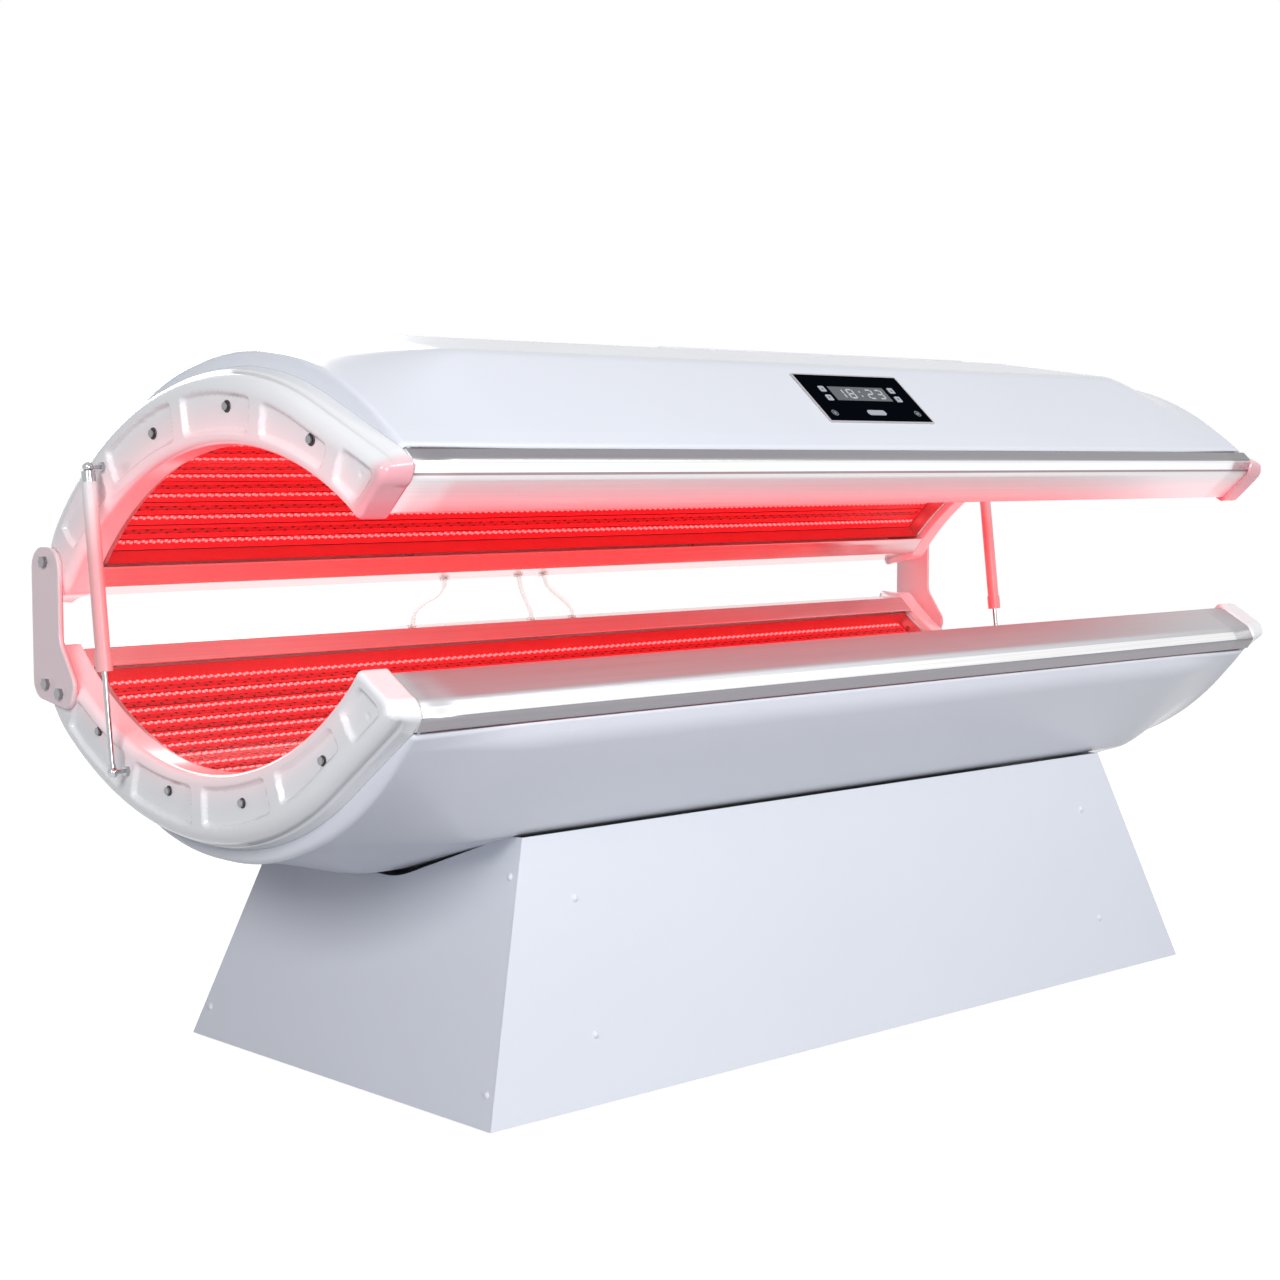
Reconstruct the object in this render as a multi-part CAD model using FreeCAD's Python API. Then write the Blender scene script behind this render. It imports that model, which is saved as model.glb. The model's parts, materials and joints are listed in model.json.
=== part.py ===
import FreeCAD, Part
import math
import os

# Red light therapy bed: a pedestal, a fixed bed half and a canopy half that swings up on a rear pivot.
# Millimetres. X runs along the bed, the front is at -Y, Z is up and the floor is Z = 0.
# Both halves are drawn as the bed half. The canopy is its mirror image, turned open about the pivot.

V = FreeCAD.Vector
X_AXIS = V(1, 0, 0)
ENDS = (("left", -1), ("right", 1))
SEAT_GAP = 0.3

# Overall layout
cap_face_x = 1000.0
cap_depth = 47.0
mirror_z = 645.0
pivot_y = 398.0
pivot_z = 745.0
open_angle = 12.2
bed_rear_top = 620.0
canopy_rear_top = 600.0

# Light tunnel, the round opening that a person lies in
tunnel_y = 17.0
tunnel_r = 535.0

# End cap outline
belly_y = 15.0
belly_z = 364.0
cap_thick = 99.0
belly_front_r = 520.0
belly_rear_r = 600.0
cap_rear_y = 442.0
cap_corner_y = 370.0
front_slope = 36.0
tip_top = (-378.0, 634.0)
tip_nose_offset = (-62.0, -37.0)
tip_lip_offset = (-72.0, -62.0)
cap_flare = 10.0
cap_face_wall = 12.0
cap_side_wall = 5.0
cap_rim = 11.0
pocket_depth = 6.0
pocket_margin = 16.0
pocket_belly = 10.0
pocket_gap = 26.0
pocket_tip = -56.0
pocket_spokes = (-38.5, -20.5, -1.5)
pocket_last = 35.5

# Shell sections: the front corner from the cap's tip, the other corners to the rear rail, and corner radii
shell_mid_front = (-58.0, -81.0)
shell_mid_corners = ((-322.0, 400.0), (-60.0, 300.0), (80.0, 300.0), (342.0, 400.0), (447.0, 541.0))
shell_mid_radii = (50.0, 110.0, 110.0, 70.0, 40.0)
shell_end_front = (-54.0, -84.0)
shell_end_corners = ((-308.0, 415.0), (-89.0, 335.0), (109.0, 335.0), (328.0, 415.0), (447.0, 543.0))
shell_end_radii = (480.0, 480.0, 480.0, 480.0, 60.0)
shell_rear_drop = 14.0
shell_wall = 4.0
shell_end_wall = 8.0
shell_bead = 8.0
shell_taper_start = 740.0

# Rails, the front one as offsets from the cap's tip
rail_wall = 3.0
front_rail_offsets = (
    (-1.0, -6.0), (-60.0, -39.0), (-72.0, -61.0),
    (-59.0, -80.0), (-37.0, -72.0), (16.0, -30.0),
)
rear_rail_drop = 8.0
rear_rail_flange = 38.0

# Light engine
acrylic_wall = 5.0
acrylic_recess = 3.0
acrylic_front_gap = 2.7
tray_depth = 36.0
tray_wall = 1.5
tray_front_gap = 36.0
bed_board_count = 12
bed_board_width = 62.0
canopy_board_count = 14
canopy_board_width = 50.0
board_wall = 2.0
board_margin_x = 6.0

# Frames inside the halves
rib_wall = 6.0
mid_rib_x = 330.0
tube_size = 30.0
tube_wall = 2.5
tube_front_offset = (-20.0, -104.0)
tube_rear = (402.0, 570.0)
bed_keel = (45.0, 0.0)
canopy_keel = (92.0, 10.0)

# Pivot, link plates and bolts
link_wall = 8.0
link_standoff = 1.0
link_outline = (
    (441.0, 700.0), (441.0, 768.0), (359.0, 768.0), (359.0, 626.0),
    (316.0, 566.0), (332.0, 524.0), (441.0, 540.0),
)
link_radii = (0.0, 34.0, 34.0, 40.0, 24.0, 24.0, 30.0)
link_bolts = ((398.0, 561.0), (358.0, 549.0))
bolt_d = 10.0
bolt_head_across = 16.0
bolt_head = 6.4
bolt_length = 70.0
pivot_clearance = 0.06
bolt_clearance = 0.25
boss_d = 26.0
boss_length = 34.0

# Gas struts
strut_x = 25.0
strut_lower = (182.0, 450.0)
strut_upper = (236.0, 887.0)
tube_d = 22.0
tube_bore = 19.0
collar_d = 25.0
collar_length = 26.0
collar_bore = 18.2
rod_d = 8.0
tube_start = 22.0
tube_length = 273.0
rod_inside = 190.0
ball_d = 10.0
ball_clearance = 0.15
socket_d = 16.0
shank_start = 6.0
rod_start = 12.0
socket_throat = 1.5
shank_step = 2.0
stud_d = 6.0
stud_nut_across = 13.0
stud_nut = 6.0
stud_shank = 22.0
stud_clearance = 0.2

# Cap screws: angle round the tunnel and distance from its edge
cap_screw_d = 6.0
cap_screw_head_d = 11.0
cap_screw_head = 4.0
cap_screw_clearance = 0.25
bed_screw_polar = ((27.25, 26.3), (6.64, 35.8), (-12.11, 41.8), (-32.42, 43.1))
canopy_screw_polar = ((5.84, 45.0), (-13.12, 51.3), (-32.92, 42.8))

# Control panel on the canopy, measured along the front face
panel_x = 10.0
panel_width = 245.0
panel_height = 115.0
panel_slide = 118.0
bezel_wall = 3.0
bezel_border = 3.0
glass_wall = 2.0
glass_gap = 0.2
cutout_margin = 10.0
key_gap = 0.25
key_proud = 0.9
key_travel = 0.6
key_flange = 2.0
key_flange_wall = 1.0
key_square = 13.0
key_pill = (42.0, 11.5)
key_places = {
    "key_left_upper": (-80.0, 20.5), "key_left_lower": (-80.0, -0.5),
    "key_right_upper": (82.0, 20.5), "key_right_lower": (82.0, -0.5), "key_start": (1.0, -34.7),
}
display_place = (1.0, 11.0)
display_size = (130.0, 33.0, 6.0)
board_behind = 8.0
control_board_size = (204.0, 84.0, 1.6)

# Ventilation cover and fans on the canopy's flat top
vent_x0 = -85.0
vent_x1 = 700.0
vent_width = 88.0
vent_height = 9.0
vent_wall = 2.5
vent_slots = 24
vent_slot_width = 8.0
fan_places = (120.0, 500.0)
fan_size = 92.0
fan_depth = 25.0
fan_bore = 86.0
fan_hub_d = 34.0
fan_blades = 7
fan_tip_gap = 1.5
fan_axle_d = 4.0

# Pedestal
base_y = -30.0
base_half_length = 804.0
base_half_width = 368.0
base_top_z = 375.0
base_lean_x = 130.6
base_lean_y = 86.9
base_sheet = 1.5
base_lift = 3.0
base_rear_top = 350.0
base_shadow = 10.0
base_scoop_r = 150.0
ring_size = 40.0
foot_height = 12.0
foot_d = 50.0
corner_front_leg = 112.0
corner_end_leg = 40.0
corner_wall = 4.0
corner_drop = 40.0
saddle_x = 510.0
saddle_width = 60.0
saddle_height = 36.0
top_bar_wall = 8.0
shelf_wall = 3.0
driver_places = (-400.0, 0.0, 400.0)
driver_size = (230.0, 112.0, 62.0)
dome_d = 11.0
dome_height = 3.4
dome_shank_d = 4.0
dome_shank = 14.0
dome_clearance = 0.2
front_screw_x = 595.0
front_screw_z = (283.0, 96.0)
end_screw_z = (322.0, 46.0)
end_screw_edge = 17.0
inlet_place = (520.0, 110.0)
inlet_size = (60.0, 40.0, 26.0)
inlet_flange = 5.0

# Cables over the rear gap: lower end, points between, upper end (X, Y, Z)
cable_d = 8.0
grommet_d = 18.0
grommet_height = 4.0
grommet_lip = 2.7
grommet_sleeve = 2.5
grommet_clearance = 0.8
cable_routes = {
    "left_cable": (
        (-319, 398, 606), (-319, 398, 621), (-313, 400.4, 633.6), (-300, 402.4, 644.5), (-280, 404, 653.5),
        (-259, 405.4, 661), (-246.5, 407.2, 671), (-239.5, 409.5, 683), (-238, 413, 699)),
    "middle_cable": (
        (-52, 398, 606), (-52, 398, 621), (-56, 400.9, 636.5), (-64, 403.9, 652.7), (-69, 406.7, 668),
        (-71, 409.5, 683), (-71.5, 413, 699)),
    "right_cable": (
        (46, 398, 606), (46, 398, 621), (40, 400.4, 633.6), (27, 402.5, 645), (10.5, 404.6, 656.3),
        (-3.5, 406.8, 668), (-11, 409.3, 681), (-13, 413, 699)),
}


def cross(p, d, q, e):
    """The point where the line through p along d meets the line through q along e."""
    det = d[0] * e[1] - d[1] * e[0]
    t = ((q[0] - p[0]) * e[1] - (q[1] - p[1]) * e[0]) / det
    return (p[0] + d[0] * t, p[1] + d[1] * t)


def unit(p, q):
    length = math.hypot(q[0] - p[0], q[1] - p[1])
    return ((q[0] - p[0]) / length, (q[1] - p[1]) / length)


def outward(line, distance):
    """A line (point, direction) moved towards the outside of a half, which lies on its right."""
    (point, way) = line
    return ((point[0] + way[1] * distance, point[1] - way[0] * distance), way)


def moved_path(points, distance):
    """An open path of corners moved outward by a distance, corner to corner."""
    lines = [outward((p, unit(p, q)), distance) for p, q in zip(points, points[1:])]
    inner = [cross(a[0], a[1], b[0], b[1]) for a, b in zip(lines, lines[1:])]
    last = outward((points[-1], lines[-1][1]), distance)[0]
    return [lines[0][0]] + inner + [last]


def at(point, x):
    return V(x, point[0], point[1])


def on_circle(centre, radius, angle):
    """A point on a circle, with the angle counted from straight down towards the rear."""
    turn = math.radians(angle)
    return (centre[0] + radius * math.sin(turn), centre[1] - radius * math.cos(turn))


def arc_edge(centre, radius, start, end, x):
    """An arc between two points of a circle, the short way round."""
    a0 = math.atan2(start[1] - centre[1], start[0] - centre[0])
    a1 = math.atan2(end[1] - centre[1], end[0] - centre[0])
    while a1 - a0 > math.pi:
        a1 -= 2 * math.pi
    while a1 - a0 < -math.pi:
        a1 += 2 * math.pi
    half = (a0 + a1) / 2
    middle = (centre[0] + radius * math.cos(half), centre[1] + radius * math.sin(half))
    return Part.Arc(at(start, x), at(middle, x), at(end, x)).toShape()


def line_edge(start, end, x):
    return Part.LineSegment(at(start, x), at(end, x)).toShape()


def rounded_edges(points, radii, x):
    """Lines through an open path of corners, with an arc of its own radius at each inner corner."""
    edges = []
    here = points[0]
    for before, corner, after, radius in zip(points, points[1:], points[2:], radii):
        back = unit(corner, before)
        onward = unit(corner, after)
        half = math.acos(max(-1, min(1, back[0] * onward[0] + back[1] * onward[1]))) / 2
        reach = radius / math.tan(half)
        start = (corner[0] + back[0] * reach, corner[1] + back[1] * reach)
        end = (corner[0] + onward[0] * reach, corner[1] + onward[1] * reach)
        edges.append(line_edge(here, start, x))
        if radius > 0:
            way = unit((0, 0), (back[0] + onward[0], back[1] + onward[1]))
            depth = radius / math.sin(half) - radius
            middle = (corner[0] + way[0] * depth, corner[1] + way[1] * depth)
            edges.append(Part.Arc(at(start, x), at(middle, x), at(end, x)).toShape())
        here = end
    edges.append(line_edge(here, points[-1], x))
    return edges


def closed_outline(points, radii, x):
    """A closed outline with rounded corners; the first corner stays sharp."""
    return Part.Wire(rounded_edges(list(points) + [points[0]], radii[1:], x))


def prism(wire, length):
    return Part.Face(wire).extrude(V(length, 0, 0))


def cylinder_x(centre, radius, x0, x1):
    return Part.makeCylinder(radius, x1 - x0, V(x0, centre[0], centre[1]), X_AXIS)


def box(x0, x1, y0, y1, z0, z1):
    return Part.makeBox(x1 - x0, y1 - y0, z1 - z0, V(x0, y0, z0))


def hexagon_x(centre, across, x0, x1):
    corner = across / math.sqrt(3)
    points = [on_circle(centre, corner, 60 * i + 30) for i in range(6)]
    wire = Part.makePolygon([at(p, x0) for p in points + points[:1]])
    return prism(wire, x1 - x0)


def fused(shapes):
    return shapes[0].fuse(shapes[1:]).removeSplitter()


def opened(shape):
    """A shape drawn as part of the bed half, turned into its place on the open canopy."""
    turned = shape.mirror(V(0, 0, mirror_z), V(0, 0, 1))
    turned.rotate(V(0, pivot_y, pivot_z), X_AXIS, -open_angle)
    return turned


def to_half(point):
    """A place on the open canopy (Y, Z), given as its place on the bed half."""
    turn = math.radians(open_angle)
    y = point[0] - pivot_y
    z = point[1] - pivot_z
    back_y = y * math.cos(turn) - z * math.sin(turn)
    back_z = y * math.sin(turn) + z * math.cos(turn)
    return (pivot_y + back_y, 2 * mirror_z - pivot_z - back_z)


def bored_ends(shape, bores):
    """A shape with holes along X, (place, radius) each, drilled as deep as the hinge bolts from both ends."""
    depth = cap_face_x + link_standoff + link_wall - bolt_length - SEAT_GAP
    for place, radius in bores:
        hole = cylinder_x(place, radius, depth, cap_face_x + 1)
        shape = shape.cut(hole).cut(side(hole, -1))
    return shape


def side(shape, sign):
    """A shape drawn at the right end, moved to the end that the sign names."""
    return shape if sign > 0 else shape.mirror(V(0, 0, 0), X_AXIS)


def from_tip(offset):
    return (tip_top[0] + offset[0], tip_top[1] + offset[1])


tunnel_z = belly_z + cap_thick + tunnel_r
tunnel = (tunnel_y, tunnel_z)
tip_nose = from_tip(tip_nose_offset)
tip_lip = from_tip(tip_lip_offset)
front_rail = tuple(from_tip(offset) for offset in front_rail_offsets)
tube_front = from_tip(tube_front_offset)
rail_edge_angle = math.degrees(math.atan2(front_rail[5][0] - tunnel_y, tunnel_z - front_rail[5][1]))
acrylic_front_angle = rail_edge_angle + math.degrees(acrylic_front_gap / tunnel_r)
tray_front_angle = rail_edge_angle + math.degrees(tray_front_gap / tunnel_r)
shell_mid = (from_tip(shell_mid_front),) + shell_mid_corners
shell_end = (from_tip(shell_end_front),) + shell_end_corners
bed_screws = [on_circle(tunnel, tunnel_r + reach, angle) for angle, reach in bed_screw_polar]
canopy_screws = [on_circle(tunnel, tunnel_r + reach, angle) for angle, reach in canopy_screw_polar]
shell_end_x = cap_face_x - cap_depth
rib_x1 = shell_end_x - shell_end_wall - SEAT_GAP
rib_x0 = rib_x1 - rib_wall
acrylic_r = tunnel_r + acrylic_recess
end_rib_r = acrylic_r + acrylic_wall + SEAT_GAP
tray_r = tunnel_r + tray_depth
mid_rib_r = tray_r + tray_wall + SEAT_GAP
pivot_half = to_half((pivot_y, pivot_z))
stud_places = {"lower": strut_lower, "upper": to_half(strut_upper)}
strut_plane = cap_face_x + strut_x
keel_z = shell_mid[2][1]
keel_y = (shell_mid[2][0] + shell_mid[3][0]) / 2


def tunnel_y_at(radius, z):
    return tunnel_y + math.sqrt(radius ** 2 - (tunnel_z - z) ** 2)


def cap_outline(x, grow, flare, rear_top):
    """The crescent of an end cap, grown outward all round, with its belly flared further."""
    inner = tunnel_r - grow
    top = outward((tip_top, unit(tip_top, tip_nose)), grow)
    nose = outward((tip_nose, unit(tip_nose, tip_lip)), grow)
    front_c = (belly_y, belly_z + belly_front_r)
    rear_c = (belly_y, belly_z + belly_rear_r)
    front_r = belly_front_r + grow + flare
    rear_r = belly_rear_r + grow + flare
    slope_start = on_circle(front_c, front_r, -front_slope)
    rise = math.radians(front_slope)
    slope_way = (-math.cos(rise), math.sin(rise))
    lip = cross(nose[0], nose[1], slope_start, slope_way)
    brow = cross(top[0], top[1], nose[0], nose[1])
    gap = (top[0][0] - tunnel[0], top[0][1] - tunnel[1])
    along = gap[0] * top[1][0] + gap[1] * top[1][1]
    reach = -along - math.sqrt(along ** 2 - gap[0] ** 2 - gap[1] ** 2 + inner ** 2)
    if abs(reach) > abs(-2 * along - reach):
        reach = -2 * along - reach
    peak = (top[0][0] + top[1][0] * reach, top[0][1] + top[1][1] * reach)
    turn = math.degrees(math.asin((cap_corner_y - belly_y) / belly_rear_r))
    corner_r = (cap_rear_y - cap_corner_y) / (1 - math.sin(math.radians(turn)))
    corner_c = on_circle(rear_c, belly_rear_r - corner_r, turn)
    corner_r += grow + flare
    corner_start = on_circle(rear_c, rear_r, turn)
    roof = rear_top + grow
    rear_out = (corner_c[0] + math.sqrt(corner_r ** 2 - (corner_c[1] - roof) ** 2), roof)
    rear_in = (tunnel_y_at(inner, roof), roof)
    bottom = (belly_y, belly_z - grow - flare)
    return Part.Wire([
        line_edge(peak, brow, x), line_edge(brow, lip, x), line_edge(lip, slope_start, x),
        arc_edge(front_c, front_r, slope_start, bottom, x), arc_edge(rear_c, rear_r, bottom, corner_start, x),
        arc_edge(corner_c, corner_r, corner_start, rear_out, x), line_edge(rear_out, rear_in, x),
        arc_edge(tunnel, inner, rear_in, peak, x),
    ])


def pocket(start, end, belly, rear_top):
    """A recess in a cap's face, cut to the cap's own outline between two spokes of the tunnel."""
    floor_x = cap_face_x - pocket_depth
    cover = prism(cap_outline(floor_x, -pocket_margin, -belly, rear_top), pocket_depth + 1)
    spokes = []
    for angle, way in ((start, 1), (end, -1)):
        foot = on_circle(tunnel, tunnel_r, angle)
        shift = math.radians(angle)
        slide = way * pocket_gap / 2
        foot = (foot[0] + slide * math.cos(shift), foot[1] + slide * math.sin(shift))
        far = (math.sin(shift) * cap_depth * 4, -math.cos(shift) * cap_depth * 4)
        spokes.append((foot, (foot[0] + far[0], foot[1] + far[1])))
    corners = [spokes[0][0], spokes[0][1], spokes[1][1], spokes[1][0]]
    wedge = prism(Part.makePolygon([at(p, floor_x) for p in corners + corners[:1]]), pocket_depth + 1)
    return cover.common(wedge)


def spoke_angle(place):
    return math.degrees(math.atan2(place[0] - tunnel[0], tunnel[1] - place[1]))


def end_cap(screws, holes, stud, rear_top):
    """One moulded end cap at the right end: rounded rim, hollow back, recessed pockets and screw holes.

    One rib between pockets lies under the strut's ball stud, and carries it."""
    stations = (
        (0, -cap_rim * 0.8, -cap_rim * 0.7), (cap_rim * 0.35, -cap_rim * 0.25, -cap_rim * 0.4),
        (cap_rim, 0, -cap_rim * 0.15), (cap_rim * 2, 0, cap_rim * 0.25), (cap_depth, 0, cap_flare),
    )
    wires = [cap_outline(cap_face_x - depth, grow, flare, rear_top) for depth, grow, flare in stations]
    body = Part.makeLoft(wires, True, True)
    hollow_wire = cap_outline(shell_end_x, -cap_side_wall - cap_rim * 0.5, 0, rear_top)
    body = body.cut(prism(hollow_wire, cap_depth - cap_face_wall))
    spokes = pocket_spokes + (spoke_angle(stud), pocket_last)
    body = body.cut(pocket(pocket_tip, spokes[0], 0, rear_top))
    for start, end in zip(spokes, spokes[1:]):
        body = body.cut(pocket(start, end, pocket_belly, rear_top))
    bores = [(p, cap_screw_d / 2 + cap_screw_clearance) for p in screws] + holes
    bores.append((stud, stud_d / 2 + stud_clearance))
    return bored_ends(body, bores)


def shell_corners(blend, rear_top):
    corners = []
    for a, b in zip(shell_mid, shell_end):
        corners.append((a[0] + (b[0] - a[0]) * blend, a[1] + (b[1] - a[1]) * blend))
    corners.append((corners[-1][0], rear_top - shell_rear_drop))
    radii = [a + (b - a) * blend for a, b in zip(shell_mid_radii, shell_end_radii)]
    return corners, radii


def shell_edges(x, blend, inset, rear_top, over):
    """The belly of a shell at one station, from the front rail to the rear rail, as edges and end points."""
    corners, radii = shell_corners(blend, rear_top)
    points = moved_path(corners, -inset)
    front_way = unit(points[1], points[0])
    points[0] = (points[0][0] + front_way[0] * over, points[0][1] + front_way[1] * over)
    points[-1] = (points[-1][0], points[-1][1] + over)
    return rounded_edges(points, [r - inset for r in radii], x), points[0], points[-1]


def shell_block(stations, rear_top, over):
    wires = []
    for x, blend, inset in stations:
        edges, first, last = shell_edges(x, blend, inset, rear_top, over)
        wires.append(Part.Wire(edges + [line_edge(last, first, x)]))
    return Part.makeLoft(wires, True, True)


def mirrored_stations(right):
    return [(-x, blend, inset) for x, blend, inset in right] + [s for s in reversed(right)]


def shell(screws, holes, rear_top):
    """A formed cover, faceted along its middle and rounder at its ends, with a turned-in bead at each end."""
    inner_x = shell_end_x - shell_end_wall
    half_way = (shell_taper_start + inner_x) / 2
    outer = [
        (shell_end_x, 1, shell_bead), (shell_end_x - shell_bead * 0.3, 1, shell_bead * 0.3),
        (shell_end_x - shell_bead, 1, 0), (half_way, 0.5, 0), (shell_taper_start, 0, 0),
    ]
    hollow = [(inner_x, 1, shell_wall), (half_way, 0.5, shell_wall), (shell_taper_start, 0, shell_wall)]
    body = shell_block(mirrored_stations(outer), rear_top, 0)
    body = body.cut(shell_block(mirrored_stations(hollow), rear_top, shell_bead * 2))
    mouth = end_rib_r + SEAT_GAP * 4
    body = body.cut(cylinder_x(tunnel, mouth, -cap_face_x, cap_face_x))
    bores = [(p, cap_screw_d / 2 + cap_screw_clearance * 2) for p in screws] + holes
    return bored_ends(body, bores)


def front_rail_outline(x, inset):
    wire = Part.makePolygon([at(p, x) for p in front_rail + front_rail[:1]])
    return wire if inset == 0 else wire.makeOffset2D(-inset, 2)


def front_rail_bar():
    """Extruded hollow nose along the front edge of a half."""
    reach = shell_end_x - SEAT_GAP
    bar = prism(front_rail_outline(-reach, 0), 2 * reach)
    return bar.cut(prism(front_rail_outline(-reach, rail_wall), 2 * reach))


def rear_rail_z(rear_top):
    return rear_top - rear_rail_drop


def flange_end_angle(rear_top):
    start = math.degrees(math.acos((tunnel_z - rear_rail_z(rear_top)) / tunnel_r))
    return start - math.degrees(rear_rail_flange / tunnel_r)


def rear_rail_bar(rear_top, bores):
    """Folded strip along the rear edge: a flat roof over the shell and a flange that follows the tunnel."""
    reach = shell_end_x - SEAT_GAP
    roof = rear_rail_z(rear_top)
    under = roof - rail_wall
    y_out = shell_mid[-1][0]
    shell_top = rear_top - shell_rear_drop
    inner_top = (tunnel_y_at(tunnel_r, roof), roof)
    inner_under = (tunnel_y_at(tunnel_r + rail_wall, under), under)
    tip = on_circle(tunnel, tunnel_r, flange_end_angle(rear_top))
    tip_out = on_circle(tunnel, tunnel_r + rail_wall, flange_end_angle(rear_top))
    lip = shell_top + SEAT_GAP
    edges = [
        line_edge((y_out, lip), (y_out, roof), -reach), line_edge((y_out, roof), inner_top, -reach),
        arc_edge(tunnel, tunnel_r, inner_top, tip, -reach), line_edge(tip, tip_out, -reach),
        arc_edge(tunnel, tunnel_r + rail_wall, tip_out, inner_under, -reach),
        line_edge(inner_under, (y_out - shell_wall, under), -reach),
        line_edge((y_out - shell_wall, under), (y_out - shell_wall, lip), -reach),
        line_edge((y_out - shell_wall, lip), (y_out, lip), -reach),
    ]
    bar = prism(Part.Wire(edges), 2 * reach)
    for bore in bores:
        bar = bar.cut(bore)
    return bar


def arc_sheet(radius, wall, start, end, reach):
    """A curved sheet along the tunnel between two angles."""
    a0 = on_circle(tunnel, radius, start)
    a1 = on_circle(tunnel, radius, end)
    b0 = on_circle(tunnel, radius + wall, start)
    b1 = on_circle(tunnel, radius + wall, end)
    edges = [
        arc_edge(tunnel, radius, a0, a1, -reach), line_edge(a1, b1, -reach),
        arc_edge(tunnel, radius + wall, b1, b0, -reach), line_edge(b0, a0, -reach),
    ]
    return prism(Part.Wire(edges), 2 * reach)


def acrylic_end_angle(rear_top):
    return flange_end_angle(rear_top) - math.degrees(SEAT_GAP / tunnel_r)


def acrylic(rear_top):
    end_angle = acrylic_end_angle(rear_top)
    return arc_sheet(acrylic_r, acrylic_wall, acrylic_front_angle, end_angle, shell_end_x - SEAT_GAP)


def led_tray(rear_top):
    """A curved tray whose long edges fold up to the back of the acrylic."""
    reach = rib_x0 - SEAT_GAP
    end = acrylic_end_angle(rear_top)
    fold = math.degrees(tray_wall / tray_r)
    edge_r = acrylic_r + acrylic_wall + SEAT_GAP
    edge_height = tray_r + tray_wall - edge_r
    floor = arc_sheet(tray_r, tray_wall, tray_front_angle, end, reach)
    front_edge = arc_sheet(edge_r, edge_height, tray_front_angle, tray_front_angle + fold, reach)
    rear_edge = arc_sheet(edge_r, edge_height, end - fold, end, reach)
    return floor.fuse([front_edge, rear_edge]).removeSplitter()


def led_boards(rear_top, count, width):
    """Flat strips that stand with both long edges on the curved tray."""
    reach = rib_x0 - board_margin_x
    back = math.sqrt(tray_r ** 2 - (width / 2) ** 2)
    span = acrylic_end_angle(rear_top) - tray_front_angle
    boards = []
    for i in range(count):
        angle = tray_front_angle + span * (i + 0.5) / count
        strip = box(-reach, reach, -width / 2, width / 2, -back, -back + board_wall)
        strip.rotate(V(0, 0, 0), X_AXIS, angle)
        strip.translate(V(0, tunnel_y, tunnel_z))
        boards.append(strip)
    return Part.makeCompound(boards)


def rib(x, radius, blend, rear_top):
    """A crescent plate between the shell, both rails and the tray or the acrylic."""
    edges, first, last = shell_edges(x, blend, shell_wall + SEAT_GAP, rear_top, 0)
    roof = rear_rail_z(rear_top) - rail_wall - SEAT_GAP
    under_rail = moved_path(front_rail[3:6], SEAT_GAP)
    bend = edges[0].Vertexes[-1].Point
    heel = cross(first, unit(first, (bend.y, bend.z)), under_rail[0], unit(under_rail[0], under_rail[1]))
    edges[0] = line_edge(heel, (bend.y, bend.z), x)
    reach = unit(under_rail[1], under_rail[2])
    gap = (under_rail[1][0] - tunnel[0], under_rail[1][1] - tunnel[1])
    along = gap[0] * reach[0] + gap[1] * reach[1]
    run = -along - math.sqrt(along ** 2 - gap[0] ** 2 - gap[1] ** 2 + radius ** 2)
    tip = (under_rail[1][0] + reach[0] * run, under_rail[1][1] + reach[1] * run)
    rear = (tunnel_y_at(radius, roof), roof)
    wire = Part.Wire(edges + [
        line_edge(last, (last[0], roof), x), line_edge((last[0], roof), rear, x),
        arc_edge(tunnel, radius, rear, tip, x), line_edge(tip, under_rail[1], x),
        line_edge(under_rail[1], heel, x),
    ])
    return prism(wire, rib_wall)


def half_frame(screws, bores, keel, rear_top, with_boss):
    """Welded frame of a half: end ribs, mid ribs, two edge tubes and two keel tubes."""
    keel_offset, keel_lift = keel
    low = keel_z + shell_wall + SEAT_GAP + keel_lift
    tubes = [
        tube_front, (tube_rear[0], tube_rear[1] - (bed_rear_top - rear_top)),
        (keel_y - keel_offset, low), (keel_y + keel_offset - tube_size, low),
    ]
    solids = []
    for x, radius, blend in (
        (-rib_x1, end_rib_r, 1), (rib_x0, end_rib_r, 1),
        (-mid_rib_x - rib_wall, mid_rib_r, 0), (mid_rib_x, mid_rib_r, 0),
    ):
        solids.append(rib(x, radius, blend, rear_top))
    for index, (y, z) in enumerate(tubes):
        reach = rib_x0 if index < 2 else shell_taper_start
        solids.append(box(-reach, reach, y, y + tube_size, z, z + tube_size))
    if with_boss:
        for sign in (-1, 1):
            x0, x1 = sorted((sign * (rib_x1 - boss_length), sign * rib_x1))
            solids.append(cylinder_x(pivot_half, boss_d / 2, x0, x1))
    frame = fused(solids)
    for y, z in tubes:
        bore = box(
            -rib_x1, rib_x1, y + tube_wall, y + tube_size - tube_wall, z + tube_wall, z + tube_size - tube_wall)
        if with_boss:
            for sign in (-1, 1):
                x0, x1 = sorted((sign * (rib_x1 - boss_length), sign * rib_x1))
                bore = bore.cut(cylinder_x(pivot_half, boss_d / 2, x0, x1))
        frame = frame.cut(bore)
    holes = [(p, cap_screw_d / 2 + cap_screw_clearance) for p in screws] + bores
    return bored_ends(frame, holes)


def cap_screws(screws):
    """Pan head screws that sit on the pocket floors and reach through the end ribs."""
    seat = cap_face_x - pocket_depth
    solids = []
    for place in screws:
        head = cylinder_x(place, cap_screw_head_d / 2, seat, seat + cap_screw_head)
        screw = head.fuse(cylinder_x(place, cap_screw_d / 2, rib_x0, seat)).removeSplitter()
        solids += [screw, side(screw, -1)]
    return Part.makeCompound(solids)


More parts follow.
